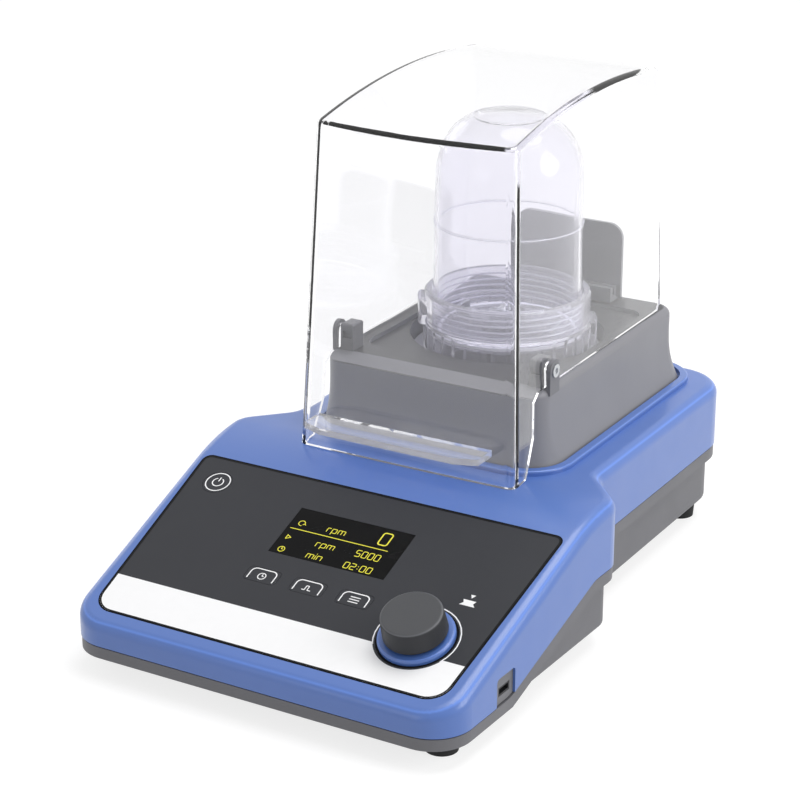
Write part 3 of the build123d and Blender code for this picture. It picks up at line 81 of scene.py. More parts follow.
# The rule and the signs on the display, in millimetres: name, line, and strokes of start, heading and move
DISPLAY_SIGNS = (
    ("display_rule", 0.32, [((-22.4, 58.5), 0, ("run", 40.7))]),
    (
        "turning_sign",
        0.3,
        [
            ((-18.15, 61.8), 90, ("turn", 1.25, 290)),
            ((-18.15, 61.8), 225, ("run", 0.9)),
            ((-18.15, 61.8), 315, ("run", 0.9)),
        ],
    ),
    (
        "set_sign",
        0.3,
        [
            ((-21.2, 52.8), 90, ("run", 2.2)),
            ((-21.2, 52.9), 30, ("run", 2.1)),
            ((-21.2, 54.9), -30, ("run", 2.1)),
        ],
    ),
    (
        "clock_sign",
        0.3,
        [
            ((-18.45, 47.6), 90, ("turn", 1.25, 360)),
            ((-19.7, 47.6), 90, ("run", 0.9)),
            ((-19.7, 47.6), 0, ("run", 0.7)),
        ],
    ),
)

# Clear plastics: bending of light, and the tints of the light that passes through them
ACRYLIC_IOR = 1.49
THIN_WALL_IOR = 1.3
HOOD_WALL_TINT = (0.97, 0.97, 0.98, 1)
HOOD_ROOF_TINT = (0.88, 0.88, 0.89, 1)
TUBE_TINT = (0.93, 0.93, 0.97, 1)

# The hood's roof: place of its crest as a share of the hood's depth, and the radius of its curve
ROOF_CREST = 0.66
ROOF_RADIUS = 319 * MM

# Limits of the hood's light edges: where each ends, and where it is full
EDGE_BEHIND_FRONT = (12 * MM, 14 * MM)
EDGE_BEFORE_REAR = (76 * MM, 70 * MM)
EDGE_UNDER_ROOF = (17 * MM, 14 * MM)
EDGE_ON_RIGHT = (33 * MM, 34 * MM)
EDGE_AT_REAR = (6 * MM, 5 * MM)
EDGE_RAY_DEPTH = 2.5

# Lamps: name, place and width of the disc in metres, and the point that all look at
LAMPS = (
    ("key_lamp", (0.20, 0.20, 1.25), 0.9),
    ("side_lamp", (1.20, 0.15, 0.60), 0.8),
    ("front_lamp", (-0.35, -1.3, 0.45), 0.7),
    ("left_lamp", (-1.30, 0.70, 0.60), 0.8),
)
LAMP_AIM = (0, 0, 0.07)

# Tones of the floor: its paint and glow where it is seen, and its paint where light bounces off it
FLOOR_PAINT = 0.30
FLOOR_GLOW = 0.78
FLOOR_BOUNCE = 0.8


def tone(code):
    """Linear colour of a hex code as a picture shows it."""
    values = [int(code[i : i + 2], 16) / 255 for i in (0, 2, 4)]
    return tuple(v / 12.92 if v <= 0.04045 else ((v + 0.055) / 1.055) ** 2.4 for v in values)


def colour(name, description, code):
    return bpy.props.FloatVectorProperty(
        name=name, description=description, default=tone(code), subtype="COLOR", size=3, min=0, max=1
    )


def number(name, description, value):
    return bpy.props.FloatProperty(name=name, description=description, default=value)


def length(name, description, millimetres):
    return bpy.props.FloatProperty(
        name=name, description=description, default=millimetres * MM, unit="LENGTH", precision=5
    )


class MillColours(bpy.types.PropertyGroup):
    """Colours of the finishes"""

    body_blue: colour("Body blue", "Moulded upper housing", "4C6EB4")
    lower_grey: colour("Lower grey", "Moulded lower housing", "68686C")
    platform_grey: colour("Platform grey", "Platform under the hood", "7F7F84")
    post_grey: colour("Post grey", "Guide posts", "6F6F73")
    plate_grey: colour("Plate grey", "Hinge plate behind the hood", "808085")
    holder_grey: colour("Holder grey", "Ring that holds the tube", "8F8F95")
    foil_grey: colour("Foil grey", "Printed control foil", "35363A")
    print_white: colour("Print white", "White print on the foil", "F3F3F4")
    display_black: colour("Display black", "Window of the display", "070708")
    readout_yellow: colour("Read-out yellow", "Lit figures of the display", "E8E03A")
    knob_grey: colour("Knob grey", "Turned and pressed knob", "48494C")
    # Painted shadow: the black of the seams round the foil and the knob, and of the line along the foil's
    # edge.
    seam_shadow_black: colour("Seam black", "Shadow seams and gaskets", "0A0A0C")
    hood_clear: colour("Hood clear", "Clear hood and its ledge", "FEFEFF")
    tube_frost: colour("Tube frost", "Clear grinding tube with a lilac cast", "F8F7FC")
    rubber_black: colour("Rubber black", "Feet, dampers and seals", "1C1C1E")
    steel: colour("Steel", "Screws, shafts and blade", "C4C6C9")
    board_green: colour("Board green", "Circuit boards", "1F6B3C")


class MillPrint(bpy.types.PropertyGroup):
    """Sizes of the print and the seams on the panel"""

    band_length: length("Band length", "White band along the foil's front", 17.3)
    line_width: length("Line width", "Width of the printed key outlines", 0.45)
    outline_width: length("Outline width", "Width of a key outline", 10.4)
    outline_length: length("Outline length", "Length of a key outline", 5.3)
    outline_radius: length("Outline radius", "Corner radius of a key outline", 2.0)
    outline_v: length("Outline place", "Lower end of the key outlines, up the foil", 30.9)
    key_pitch: length("Key pitch", "Distance between the keys", 19.0)
    power_radius: length("Power ring", "Radius of the ring round the power key", 4.75)
    power_u: length("Power key across", "Place of the power key across the foil", -62.4)
    power_v: length("Power key up", "Place of the power key up the foil", 71.8)
    knob_u: length("Knob across", "Place of the knob across the foil", 48.8)
    knob_v: length("Knob up", "Place of the knob up the foil", 24.2)
    knob_line_radius: length("Knob line", "Radius of the white line round the knob", 15.2)
    # Painted shadow: the black strips in the gaps round the foil and the knob's ring stand in for the
    # shade in those seams.
    seam_shadow_width: length("Gasket width", "Black seam round the foil", 0.6)
    seam_shadow_depth: length("Gasket depth", "Thickness of the black seams", 0.45)
    # Painted shadow: the black line along the foil's edge widens the dark seam round the foil.
    border_width: length("Border width", "Black line printed along the foil's edge", 0.6)
    hole_radius: length("Hole radius", "Radius of the foil's hole round the knob", 14.4)
    ring_radius: length("Ring radius", "Radius of the raised ring round the knob", 13.6)
    foil_front_half: length("Foil's front", "Half of the foil's width at its front", 70.5)
    foil_rear_half: length("Foil's rear", "Half of the foil's width at its rear", 75.2)
    foil_front_radius: length("Foil's front corners", "Radius of the foil's front corners", 8.0)
    foil_rear_radius: length("Foil's rear corners", "Radius of the foil's rear corners", 3.0)


class MillTube(bpy.types.PropertyGroup):
    """Sizes of the fine details on the grinding tube"""

    thread_start: length("Thread start", "Height of the thread's first turn above the cup's mouth", 1.6)
    thread_pitch: length("Thread pitch", "Rise of the thread in one turn", 2.4)
    thread_width: length("Thread width", "Height of the thread's ridge", 0.8)
    thread_rise: length("Thread rise", "How far the ridge stands out", 0.22)
    thread_root: length("Thread root", "How far the ridge reaches into the wall", 0.05)
    thread_turns: number("Thread turns", "Number of turns of the thread", 5.0)
    bead_rise: length("Bead rise", "Height of the ring round the cup above its mouth", 41.7)
    bead_radius: length("Bead radius", "Radius of the ring round the cup", 27.75)
    bead_width: length("Bead width", "Thickness of the ring round the cup", 0.45)
    crown_rise: length("Crown ring rise", "Height of the ring on the dome above the cup's mouth", 82.2)
    crown_radius: length("Crown ring radius", "Radius of the ring on the dome", 13.8)
    crown_width: length("Crown ring width", "Thickness of the ring on the dome", 0.2)


class MillStage(bpy.types.PropertyGroup):
    """Camera, floor and light"""

    lens: number("Lens", "Focal length in millimetres", 106.3)
    camera_place: bpy.props.FloatVectorProperty(
        name="Camera place",
        description="Where the camera stands",
        default=(0.4049, -0.7142, 0.3907),
        unit="LENGTH",
    )
    camera_aim: bpy.props.FloatVectorProperty(
        name="Camera aim",
        description="Point that the camera looks at",
        default=(0, -0.0260, 0.0842),
        unit="LENGTH",
    )
    floor_size: length("Floor size", "Side of the floor", 6000)
    sky: number("Sky", "Strength of the even light all round", 0.47)
    key_lamp: number("Key lamp", "Power of the large lamp above", 9.9)
    side_lamp: number("Side lamp", "Power of the lamp at the right", 7.2)
    front_lamp: number("Front lamp", "Power of the lamp in front", 1.3)
    left_lamp: number("Left lamp", "Power of the faint lamp at the left", 1.6)


# Materials


class NodeTree:
    """A node tree with short calls for its nodes and links."""

    def __init__(self, tree):
        self.nodes = tree.nodes
        self.links = tree.links

    def node(self, kind, **settings):
        made = self.nodes.new(kind)
        for key, value in settings.items():
            setattr(made, key, value)
        return made

    def feed(self, socket, value):
        if isinstance(value, bpy.types.NodeSocket):
            self.links.new(value, socket)
        else:
            socket.default_value = value


class Tree(NodeTree):
    """A material's node tree, with short calls for its patterns and its shader."""

    def __init__(self, name):
        self.material = bpy.data.materials.new(name)
        self.material.use_nodes = True
        super().__init__(self.material.node_tree)
        self.shader = self.nodes["Principled BSDF"]
        self.output = self.nodes["Material Output"]
        self.place = self.node("ShaderNodeTexCoord").outputs["Object"]

    def noise(self, scale, detail=2.0, stretch=None):
        made = self.node("ShaderNodeTexNoise")
        source = self.place
        if stretch:
            mapping = self.node("ShaderNodeMapping")
            self.feed(mapping.inputs["Vector"], source)
            mapping.inputs["Scale"].default_value = stretch
            source = mapping.outputs["Vector"]
        self.feed(made.inputs["Vector"], source)
        made.inputs["Scale"].default_value = scale
        made.inputs["Detail"].default_value = detail
        return made.outputs["Fac"]

    def spread(self, value, low, high):
        """Maps a noise, which mostly lies between 0.3 and 0.7, to a range."""
        made = self.node("ShaderNodeMapRange")
        self.feed(made.inputs["Value"], value)
        made.inputs["From Min"].default_value = 0.3
        made.inputs["From Max"].default_value = 0.7
        made.inputs["To Min"].default_value = low
        made.inputs["To Max"].default_value = high
        return made.outputs["Result"]

    def blend_colours(self, factor, first, second):
        made = self.node("ShaderNodeMix", data_type="RGBA")
        self.feed(made.inputs[0], factor)
        self.feed(made.inputs[6], first)
        self.feed(made.inputs[7], second)
        return made.outputs[2]

    def bump(self, height, strength, distance):
        made = self.node("ShaderNodeBump")
        self.feed(made.inputs["Height"], height)
        made.inputs["Strength"].default_value = strength
        made.inputs["Distance"].default_value = distance
        self.feed(self.shader.inputs["Normal"], made.outputs["Normal"])

    def set(self, **sockets):
        """Sets the shader's inputs by their names, with underscores for spaces."""
        for key, value in sockets.items():
            self.feed(self.shader.inputs[key.replace("_", " ")], value)


def combined(tree, operation, *values):
    made = tree.node("ShaderNodeMath", operation=operation)
    for socket, value in zip(made.inputs, values):
        tree.feed(socket, value)
    return made.outputs[0]


def seen_share(tree):
    """1 for rays from the camera, from mirrors and through clear plastic."""
    path = tree.node("ShaderNodeLightPath").outputs
    mirrored = combined(tree, "MAXIMUM", path["Is Camera Ray"], path["Is Glossy Ray"])
    return combined(tree, "MAXIMUM", mirrored, path["Is Transmission Ray"])


def mixed_shaders(tree, share, first, second):
    made = tree.node("ShaderNodeMixShader")
    for socket, value in zip(made.inputs, (share, first, second)):
        tree.feed(socket, value)
    return made.outputs[0]


def ranged(tree, value, low, high):
    """0 at the first limit and beyond it, 1 at the second and beyond, and a straight ramp between."""
    made = tree.node("ShaderNodeMapRange")
    tree.feed(made.inputs["Value"], value)
    made.inputs["From Min"].default_value = low
    made.inputs["From Max"].default_value = high
    return made.outputs["Result"]


def facing_share(tree, axis, low, high):
    """1 on faces that look along an axis or against it, 0 on those beside it."""
    across = tree.node("ShaderNodeVectorMath", operation="DOT_PRODUCT")
    tree.feed(across.inputs[0], tree.node("ShaderNodeTexCoord").outputs["Normal"])
    across.inputs[1].default_value = axis
    return ranged(tree, combined(tree, "ABSOLUTE", across.outputs["Value"]), low, high)


def rim_share(tree, axis, low, high):
    """1 in the middle of a rounded edge, whose faces lean from the axis by a cosine between the two."""
    middle = (low + high) / 2
    rising, falling = facing_share(tree, axis, low, middle), facing_share(tree, axis, high, middle)
    return combined(tree, "MINIMUM", rising, falling)


def shade(rgb, factor):
    return tuple(min(1, c * factor) for c in rgb[:3]) + (1,)


def moulded(name, rgb, roughness, grain=900, depth=0.012, mottle=0.05, coat=0.0, shine=0.4, painted_light_patches=()):
    """Moulded plastic: spark-eroded grain as bump, with faint mottling in colour and gloss.

    A painted-light patch is a function for the share of a tone painted as highlight or shade, its axis and
    limits, and the factor of that tone.
    """
    tree = Tree(name)
    cloud = tree.noise(26, 3)
    base = tree.blend_colours(cloud, shade(rgb, 1 - mottle), shade(rgb, 1 + mottle))
    # Painted highlights and shades: each patch lightens or darkens the colour where the faces lean a given
    # way.
    for share, axis, low, high, factor in painted_light_patches:
        base = tree.blend_colours(share(tree, axis, low, high), base, shade(rgb, factor))
    tree.set(Base_Color=base, Roughness=tree.spread(tree.noise(60), roughness - 0.04, roughness + 0.04))
    tree.set(Coat_Weight=coat, Coat_Roughness=0.2, Specular_IOR_Level=shine)
    tree.bump(tree.noise(grain, 1), 0.25, depth * MM)
    return tree.material


def metal(name, rgb, roughness):
    """Turned or rolled metal: fine lines along one way."""
    tree = Tree(name)
    lines = tree.noise(500, 2, stretch=(1, 1, 12))
    tree.set(Base_Color=tree.blend_colours(lines, shade(rgb, 0.9), shade(rgb, 1.06)), Metallic=1.0)
    tree.set(Roughness=tree.spread(lines, roughness - 0.06, roughness + 0.08))
    tree.bump(lines, 0.15, 0.01 * MM)
    return tree.material


def circuit_board(name, rgb):
    """Solder-masked board with faint copper runs under the mask."""
    tree = Tree(name)
    runs = tree.node("ShaderNodeTexBrick")
    tree.feed(runs.inputs["Vector"], tree.place)
    runs.inputs["Scale"].default_value = 160
    runs.inputs["Color1"].default_value = shade(rgb, 1.0)
    runs.inputs["Color2"].default_value = shade(rgb, 1.15)
    runs.inputs["Mortar"].default_value = shade(rgb, 0.7)
    tree.set(Base_Color=runs.outputs["Color"], Roughness=0.35)
    tree.bump(runs.outputs["Fac"], 0.2, 0.02 * MM)
    return tree.material


def let_light_through(tree, shader_output, tint, level_tint=None):
    """Lets light reach what stands inside. A level wall may tint it in its own way."""
    path = tree.node("ShaderNodeLightPath").outputs
    passes = combined(tree, "MAXIMUM", path["Is Shadow Ray"], path["Is Diffuse Ray"])
    passing = tree.node("ShaderNodeBsdfTransparent")
    passing.inputs["Color"].default_value = tint
    if level_tint:
        level = facing_share(tree, UPWARDS, 0.6, 0.9)
        tree.feed(passing.inputs["Color"], tree.blend_colours(level, tint, level_tint))
    surface = mixed_shaders(tree, passes, shader_output, passing.outputs[0])
    tree.feed(tree.output.inputs["Surface"], surface)


def light_edge_share(tree):
    """1 where light that has run down the hood's right or rear wall comes out and keeps its edge light."""
    low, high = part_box("hood")
    place = tree.node("ShaderNodeSeparateXYZ")
    tree.feed(place.inputs[0], tree.place)
    x, y, z = place.outputs["X"], place.outputs["Y"], place.outputs["Z"]
    from_crest = combined(tree, "SUBTRACT", y, low.y + ROOF_CREST * (high.y - low.y))
    sag = combined(tree, "DIVIDE", combined(tree, "MULTIPLY", from_crest, from_crest), 2 * ROOF_RADIUS)
    under_roof = combined(tree, "SUBTRACT", high.z, combined(tree, "ADD", z, sag))
    behind_front = ranged(tree, y, *(low.y + reach for reach in EDGE_BEHIND_FRONT))
    before_rear = ranged(tree, y, *(low.y + reach for reach in EDGE_BEFORE_REAR))
    near_roof = ranged(tree, under_roof, *EDGE_UNDER_ROOF)
    right_wall = ranged(tree, x, *EDGE_ON_RIGHT)
    for limit in (behind_front, before_rear, near_roof):
        right_wall = combined(tree, "MULTIPLY", right_wall, limit)
    rear_wall = ranged(tree, y, *(high.y - reach for reach in EDGE_AT_REAR))
    depth = tree.node("ShaderNodeLightPath").outputs["Ray Depth"]
    deep = combined(tree, "GREATER_THAN", depth, EDGE_RAY_DEPTH)
    return combined(tree, "MULTIPLY", combined(tree, "MAXIMUM", right_wall, rear_wall), deep)


def clear_plastic(name, rgb):
    """Polished clear plastic with the faint waviness of a moulded wall and the hood's light edges."""
    tree = Tree(name)
    tree.set(Base_Color=(*rgb, 1), Roughness=0.0, IOR=ACRYLIC_IOR, Transmission_Weight=1.0)
    tree.bump(tree.noise(14, 1), 0.05, 0.05 * MM)
    plain = tree.node("ShaderNodeBsdfTransparent").outputs[0]
    surface = mixed_shaders(tree, light_edge_share(tree), tree.shader.outputs[0], plain)
    let_light_through(tree, surface, HOOD_WALL_TINT, HOOD_ROOF_TINT)
    return tree.material


def hazy_plastic(name, rgb, clearness, roughness):
    """Thin clear plastic with a faint milky cast."""
    tree = Tree(name)
    cloud = tree.noise(40, 2)
    tree.set(Base_Color=tree.blend_colours(cloud, shade(rgb, 0.98), shade(rgb, 1.02)))
    tree.set(Roughness=roughness, IOR=THIN_WALL_IOR, Transmission_Weight=clearness)
    tree.bump(tree.noise(120, 1), 0.08, 0.02 * MM)
    let_light_through(tree, tree.shader.outputs[0], TUBE_TINT)
    return tree.material


def printed_ink(name, rgb):
    """Matt ink with a faint unevenness."""
    tree = Tree(name)
    tree.set(Base_Color=tree.blend_colours(tree.noise(300), shade(rgb, 0.98), shade(rgb, 1.01)))
    tree.set(Roughness=0.55, Specular_IOR_Level=0.15)
    return tree.material


def lit_ink(name, rgb):
    """Figures that glow, as on a lit display."""
    tree = Tree(name)
    tree.set(Base_Color=shade(rgb, 0.5), Roughness=0.4)
    tree.set(Emission_Color=tree.blend_colours(tree.noise(2500, 0), shade(rgb, 0.9), shade(rgb, 1.0)))
    tree.set(Emission_Strength=0.62)
    return tree.material


def give(material, *nodes):
    """Puts one finish on CAD nodes."""
    for name in nodes:
        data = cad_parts[name].data
        data.materials.clear()
        data.materials.append(material)


# Meshes on the sloping panel


def foil_matrix():
    """The foil's upper face: u across, v up the slope, w outwards."""
    low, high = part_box("control_foil")
    front_height = high.z - FOIL_LENGTH * math.sin(PANEL_SLOPE)
    return Matrix.Translation((0, low.y, front_height)) @ Matrix.Rotation(PANEL_SLOPE, 4, "X")


def finished(name, shape, material, body, place=Matrix.Identity(4), smooth=False):
    """Turns a bmesh into a piece at its place, with a finish, riding on a body."""
    shape.transform(place)
    data = bpy.data.meshes.new(name)
    shape.to_mesh(data)
    shape.free()
    for face in data.polygons:
        face.use_smooth = smooth
    data.materials.append(material)
    piece = bpy.data.objects.new(name, data)
    bpy.context.scene.collection.objects.link(piece)
    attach(piece, body)
    return piece


def thicken_print(shape, depth=PRINT_DEPTH):
    """Gives flat print its film of ink."""
    bmesh.ops.remove_doubles(shape, verts=shape.verts, dist=WELD_REACH)
    bmesh.ops.recalc_face_normals(shape, faces=shape.faces)
    flat = list(shape.faces)
    if sum(face.normal.z * face.calc_area() for face in flat) < 0:
        bmesh.ops.reverse_faces(shape, faces=flat)
    made = bmesh.ops.extrude_face_region(shape, geom=flat)["geom"]
    corners = [item for item in made if isinstance(item, bmesh.types.BMVert)]
    bmesh.ops.translate(shape, verts=corners, vec=(0, 0, depth))
    bmesh.ops.recalc_face_normals(shape, faces=shape.faces)


def stroke(shape, start, heading, width, moves):
    """Draws a flat line: ("run", length) is straight, ("turn", radius, degrees) bends left if above 0."""
    place = Vector((start[0], start[1], 0))
    ahead = Vector((math.cos(math.radians(heading)), math.sin(math.radians(heading)), 0))
    side = Vector((-ahead.y, ahead.x, 0))
    ends = [shape.verts.new(place + side * width / 2 * sign) for sign in (1, -1)]
    edge = shape.edges.new(ends)
    for move in moves:
        if move[0] == "run":
            made = bmesh.ops.extrude_edge_only(shape, edges=[edge])["geom"]
            corners = [item for item in made if isinstance(item, bmesh.types.BMVert)]
            bmesh.ops.translate(shape, verts=corners, vec=ahead * move[1])
            edge = [item for item in made if isinstance(item, bmesh.types.BMEdge)][0]
            place += ahead * move[1]
        else:
            radius, degrees = move[1:]
            turn = math.radians(degrees)
            centre = place + side * radius * (1 if degrees > 0 else -1)
            made = bmesh.ops.spin(
                shape,
                geom=[edge] + list(edge.verts),
                cent=centre,
                axis=(0, 0, 1),
                dvec=(0, 0, 0),
                angle=turn,
                steps=max(3, round(abs(degrees) / DEGREES_A_STEP)),
                space=Matrix.Identity(4),
                use_merge=False,
                use_normal_flip=False,
                use_duplicate=False,
            )["geom_last"]
            edge = [item for item in made if isinstance(item, bmesh.types.BMEdge)][0]
            rotation = Matrix.Rotation(turn, 3, "Z")
            place = centre + rotation @ (place - centre)
            ahead = rotation @ ahead
            side = rotation @ side


def foil_path(shape, settings, offset, width):
    """A closed flat line at an offset outside the foil's rounded outline."""
    front, rear = settings.foil_front_half, settings.foil_rear_half
    flare = math.degrees(math.atan2(rear - front, FOIL_LENGTH))
    front_cut = settings.foil_front_radius * math.tan(math.radians(90 - flare) / 2)
    rear_cut = settings.foil_rear_radius * math.tan(math.radians(90 + flare) / 2)
    side = math.hypot(rear - front, FOIL_LENGTH) - front_cut - rear_cut
    front_turn = ("turn", settings.foil_front_radius + offset, 90 - flare)
    rear_turn = ("turn", settings.foil_rear_radius + offset, 90 + flare)
    rear_run = ("run", 2 * (rear - rear_cut))
    moves = [("run", front - front_cut), front_turn, ("run", side), rear_turn, rear_run]
    moves += [rear_turn, ("run", side), front_turn, ("run", front - front_cut)]
    stroke(shape, (0, -offset), 0, width, moves)


def ring_point(centre, radius, degrees):
    angle = math.radians(degrees)
    return centre[0] + radius * math.cos(angle), centre[1] + radius * math.sin(angle)


def arc_points(centre, radius, start, sweep, steps):
    """Points along an arc, from a start angle and over a sweep in degrees."""
    return [Vector((*ring_point(centre, radius, start + sweep * i / steps), 0)) for i in range(steps + 1)]


def line_reach(settings):
    """How far down the line round the knob reaches before it meets the white band, in degrees."""
    return math.degrees(math.asin((settings.knob_v - settings.band_length) / settings.knob_line_radius))


def band_outline(settings, steps=14):
    """Corner points of the white band: the foil's rounded front with the knob's circle cut out."""
    front_half, corner, rear = settings.foil_front_half, settings.foil_front_radius, settings.band_length
    growth = (settings.foil_rear_half - front_half) / FOIL_LENGTH
    rear_half = front_half + growth * rear
    middle = front_half - corner + growth * corner
    left = arc_points((-middle, corner), corner, 180, 90, steps)
    right = arc_points((middle, corner), corner, -90, 90, steps)
    reach = line_reach(settings)
    knob = (settings.knob_u, settings.knob_v)
    cut = arc_points(knob, settings.knob_line_radius, -reach, 2 * reach - 180, 3 * steps)
    return [Vector((-rear_half, rear, 0)), *left, *right, Vector((rear_half, rear, 0)), *cut]


def figure_strokes(mark, w, h, r):
    """Rounded figures and small letters, as strokes in a cell w wide and h high, with corner radius r."""
    left, right, half = ("turn", r, 90), ("turn", r, -90), ("run", h / 2 - 2 * r)
    across, side = ("run", w - 2 * r), ("run", w - r)
    arch = [side, right, ("run", h - r)]
    bowl = [right, across, right, ("run", h - 2 * r), right, side]
    return {
        "0": [((r, 0), 0, [across, left, ("run", h - 2 * r), left] * 2)],
        "2": [((0, h), 0, [side, right, half, right, across, left, half, left, side])],
        "5": [((w, h), 180, [side, left, half, left, across, right, half, right, side])],
        ":": [((w / 2, h * 0.24), 90, [("run", h * 0.12)]), ((w / 2, h * 0.64), 90, [("run", h * 0.12)])],
        "r": [((0, 0), 90, [("run", h - r), right, side])],
        "p": [((0, -h * 0.45), 90, [("run", h * 1.45 - r), *bowl])],
        "n": [((0, 0), 90, [("run", h)]), ((0, h), 0, arch)],
        "m": [((0, 0), 90, [("run", h)]), ((0, h), 0, arch), ((w / 2, 0), 90, [("run", h)])],
        "i": [((0, 0), 90, [("run", h)]), ((0, h * 1.3), 90, [("run", h * 0.15)])],
    }[mark]


def write_figures(shape, marks, left, low, height, width, line):
    """Writes a row of figures from its lower left corner."""
    radius = max(0.16 * height, 0.8 * line)
    for mark in marks:
        cell = width * FIGURE_WIDTHS.get(mark, 1.0)
        for start, heading, moves in figure_strokes(mark, cell, height, radius):
            stroke(shape, (left + start[0], low + start[1]), heading, line, moves)
        left += cell + FIGURE_GAP


# Operators


class MILL_OT_housing(bpy.types.Operator):
    """Finishes the two housing shells, the feet and their screws"""

    bl_idname = "mill.housing"
    bl_label = "Housing"

    def execute(self, context):
        colours = context.scene.mill_colours
        # Painted highlight: a lighter line, 1.45 times the blue, along the middle of the housing's rounded
        # top edges.
        painted_edge_highlight = (rim_share, UPWARDS, 0.62, 0.86, 1.45)
        give(moulded("blue_moulding", colours.body_blue, 0.42, coat=0.6, painted_light_patches=[painted_edge_highlight]), "upper_housing")
        give(moulded("grey_moulding", colours.lower_grey, 0.5), "lower_housing")
        give(moulded("foot_rubber", colours.rubber_black, 0.75, 500, 0.03), "rubber_feet")
        give(metal("screw_steel", colours.steel, 0.3), "housing_screws", "board_screws")
        give(moulded("inlet_plastic", colours.rubber_black, 0.5), "power_inlet", "interface_socket")
        give(moulded("interface_moulding", colours.lower_grey, 0.45), "interface_panel")
        return {"FINISHED"}


class MILL_OT_platform(bpy.types.Operator):
    """Finishes the platform, the posts, the hinge and the tube's holder"""

    bl_idname = "mill.platform"
    bl_label = "Platform"

    def execute(self, context):
        colours = context.scene.mill_colours
        # Painted shade: the platform's level top faces are darkened to 0.3 of the grey, for the shade
        # under the hood's roof.
        level = (facing_share, UPWARDS, 0.97, 0.995, 0.3)
        grey = moulded("platform_moulding", colours.platform_grey, 0.4, mottle=0.03, painted_light_patches=[level])
        give(grey, "platform_housing")
        give(moulded("post_moulding", colours.post_grey, 0.42), "guide_post_left", "guide_post_right")
        give(moulded("plate_moulding", colours.plate_grey, 0.42), "hinge_plate")
        give(moulded("holder_moulding", colours.holder_grey, 0.45), "tube_holder")
        give(moulded("seal_rubber", colours.rubber_black, 0.7), "drive_seal")
        give(metal("pin_steel", colours.steel, 0.22), "post_pins", "hinge_pin", "platform_screws")
        return {"FINISHED"}


class MILL_OT_hood(bpy.types.Operator):
    """Gives the hood and its ledge their clear plastic"""

    bl_idname = "mill.hood"
    bl_label = "Hood"

    def execute(self, context):
        colours = context.scene.mill_colours
        give(clear_plastic("hood_plastic", colours.hood_clear), "hood")
        give(hazy_plastic("ledge_plastic", colours.hood_clear, 0.85, 0.04), "hood_handle")
        give(metal("magnet_metal", colours.steel, 0.35), "hood_magnet")
        give(moulded("sensor_plastic", colours.rubber_black, 0.5), "lid_sensor")
        return {"FINISHED"}


class MILL_OT_tube(bpy.types.Operator):
    """Finishes the grinding tube with its beater and seal"""

    bl_idname = "mill.tube"
    bl_label = "Grinding tube"

    def execute(self, context):
        colours = context.scene.mill_colours
        give(hazy_plastic("cup_plastic", colours.tube_frost, 0.92, 0.02), "tube_cup")
        give(hazy_plastic("base_plastic", colours.tube_frost, 0.84, 0.06), "tube_base")
        give(moulded("seal_silicone", colours.tube_frost, 0.5), "tube_seal")
        give(metal("beater_steel", colours.steel, 0.2), "beater_shaft", "beater_blade", "beater_bearing")
        plastic = hazy_plastic("thread_plastic", colours.tube_frost, 0.6, 0.2)
        tube = context.scene.mill_tube
        self.thread(tube, plastic)
        self.bead("cup_bead", tube.bead_rise, tube.bead_radius, tube.bead_width, plastic)
        self.bead("cup_crown_bead", tube.crown_rise, tube.crown_radius, tube.crown_width, plastic)
        return {"FINISHED"}

    def bead(self, name, rise, radius, width, plastic):
        """A thin moulded ring round the cup, at a height above its mouth."""
        low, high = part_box("tube_cup")
        axis = (low + high) / 2
        shape = bmesh.new()
        centre = Vector((axis.x + radius, axis.y, low.z + rise))
        turn = Matrix.Translation(centre) @ Matrix.Rotation(math.pi / 2, 4, "X")
        bmesh.ops.create_circle(shape, segments=RING_SIDES, radius=width / 2, matrix=turn)
        bmesh.ops.spin(
            shape,
            geom=list(shape.verts) + list(shape.edges),
            cent=(axis.x, axis.y, 0),
            axis=(0, 0, 1),
            dvec=(0, 0, 0),
            angle=math.tau,
            steps=RING_STEPS,
            use_merge=True,
            use_duplicate=False,
        )
        bmesh.ops.remove_doubles(shape, verts=shape.verts, dist=WELD_REACH)
        bmesh.ops.recalc_face_normals(shape, faces=shape.faces)
        finished(name, shape, plastic, "cup_body", smooth=True)

    def thread(self, settings, plastic):
        """The moulded screw thread round the cup's mouth, seen through the collar."""
        low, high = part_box("tube_cup")
        axis = (low + high) / 2
        radius = (high.x - low.x) / 2
        shape = bmesh.new()
        outline = (
            (-settings.thread_root, -settings.thread_width / 2),
            (settings.thread_rise, -settings.thread_width / 4),
            (settings.thread_rise, settings.thread_width / 4),
            (-settings.thread_root, settings.thread_width / 2),
        )
        start = low.z + settings.thread_start
        corners = [shape.verts.new((axis.x + radius + out, axis.y, start + up)) for out, up in outline]
        profile = shape.faces.new(corners)
        bmesh.ops.spin(
            shape,
            geom=[profile],
            cent=(axis.x, axis.y, 0),
            axis=(0, 0, 1),
            dvec=(0, 0, settings.thread_pitch / THREAD_STEPS),
            angle=math.tau * settings.thread_turns,
            steps=round(settings.thread_turns * THREAD_STEPS),
            use_merge=False,
            use_duplicate=False,
        )
        bmesh.ops.recalc_face_normals(shape, faces=shape.faces)
        finished("cup_thread", shape, plastic, "cup_body", smooth=True)


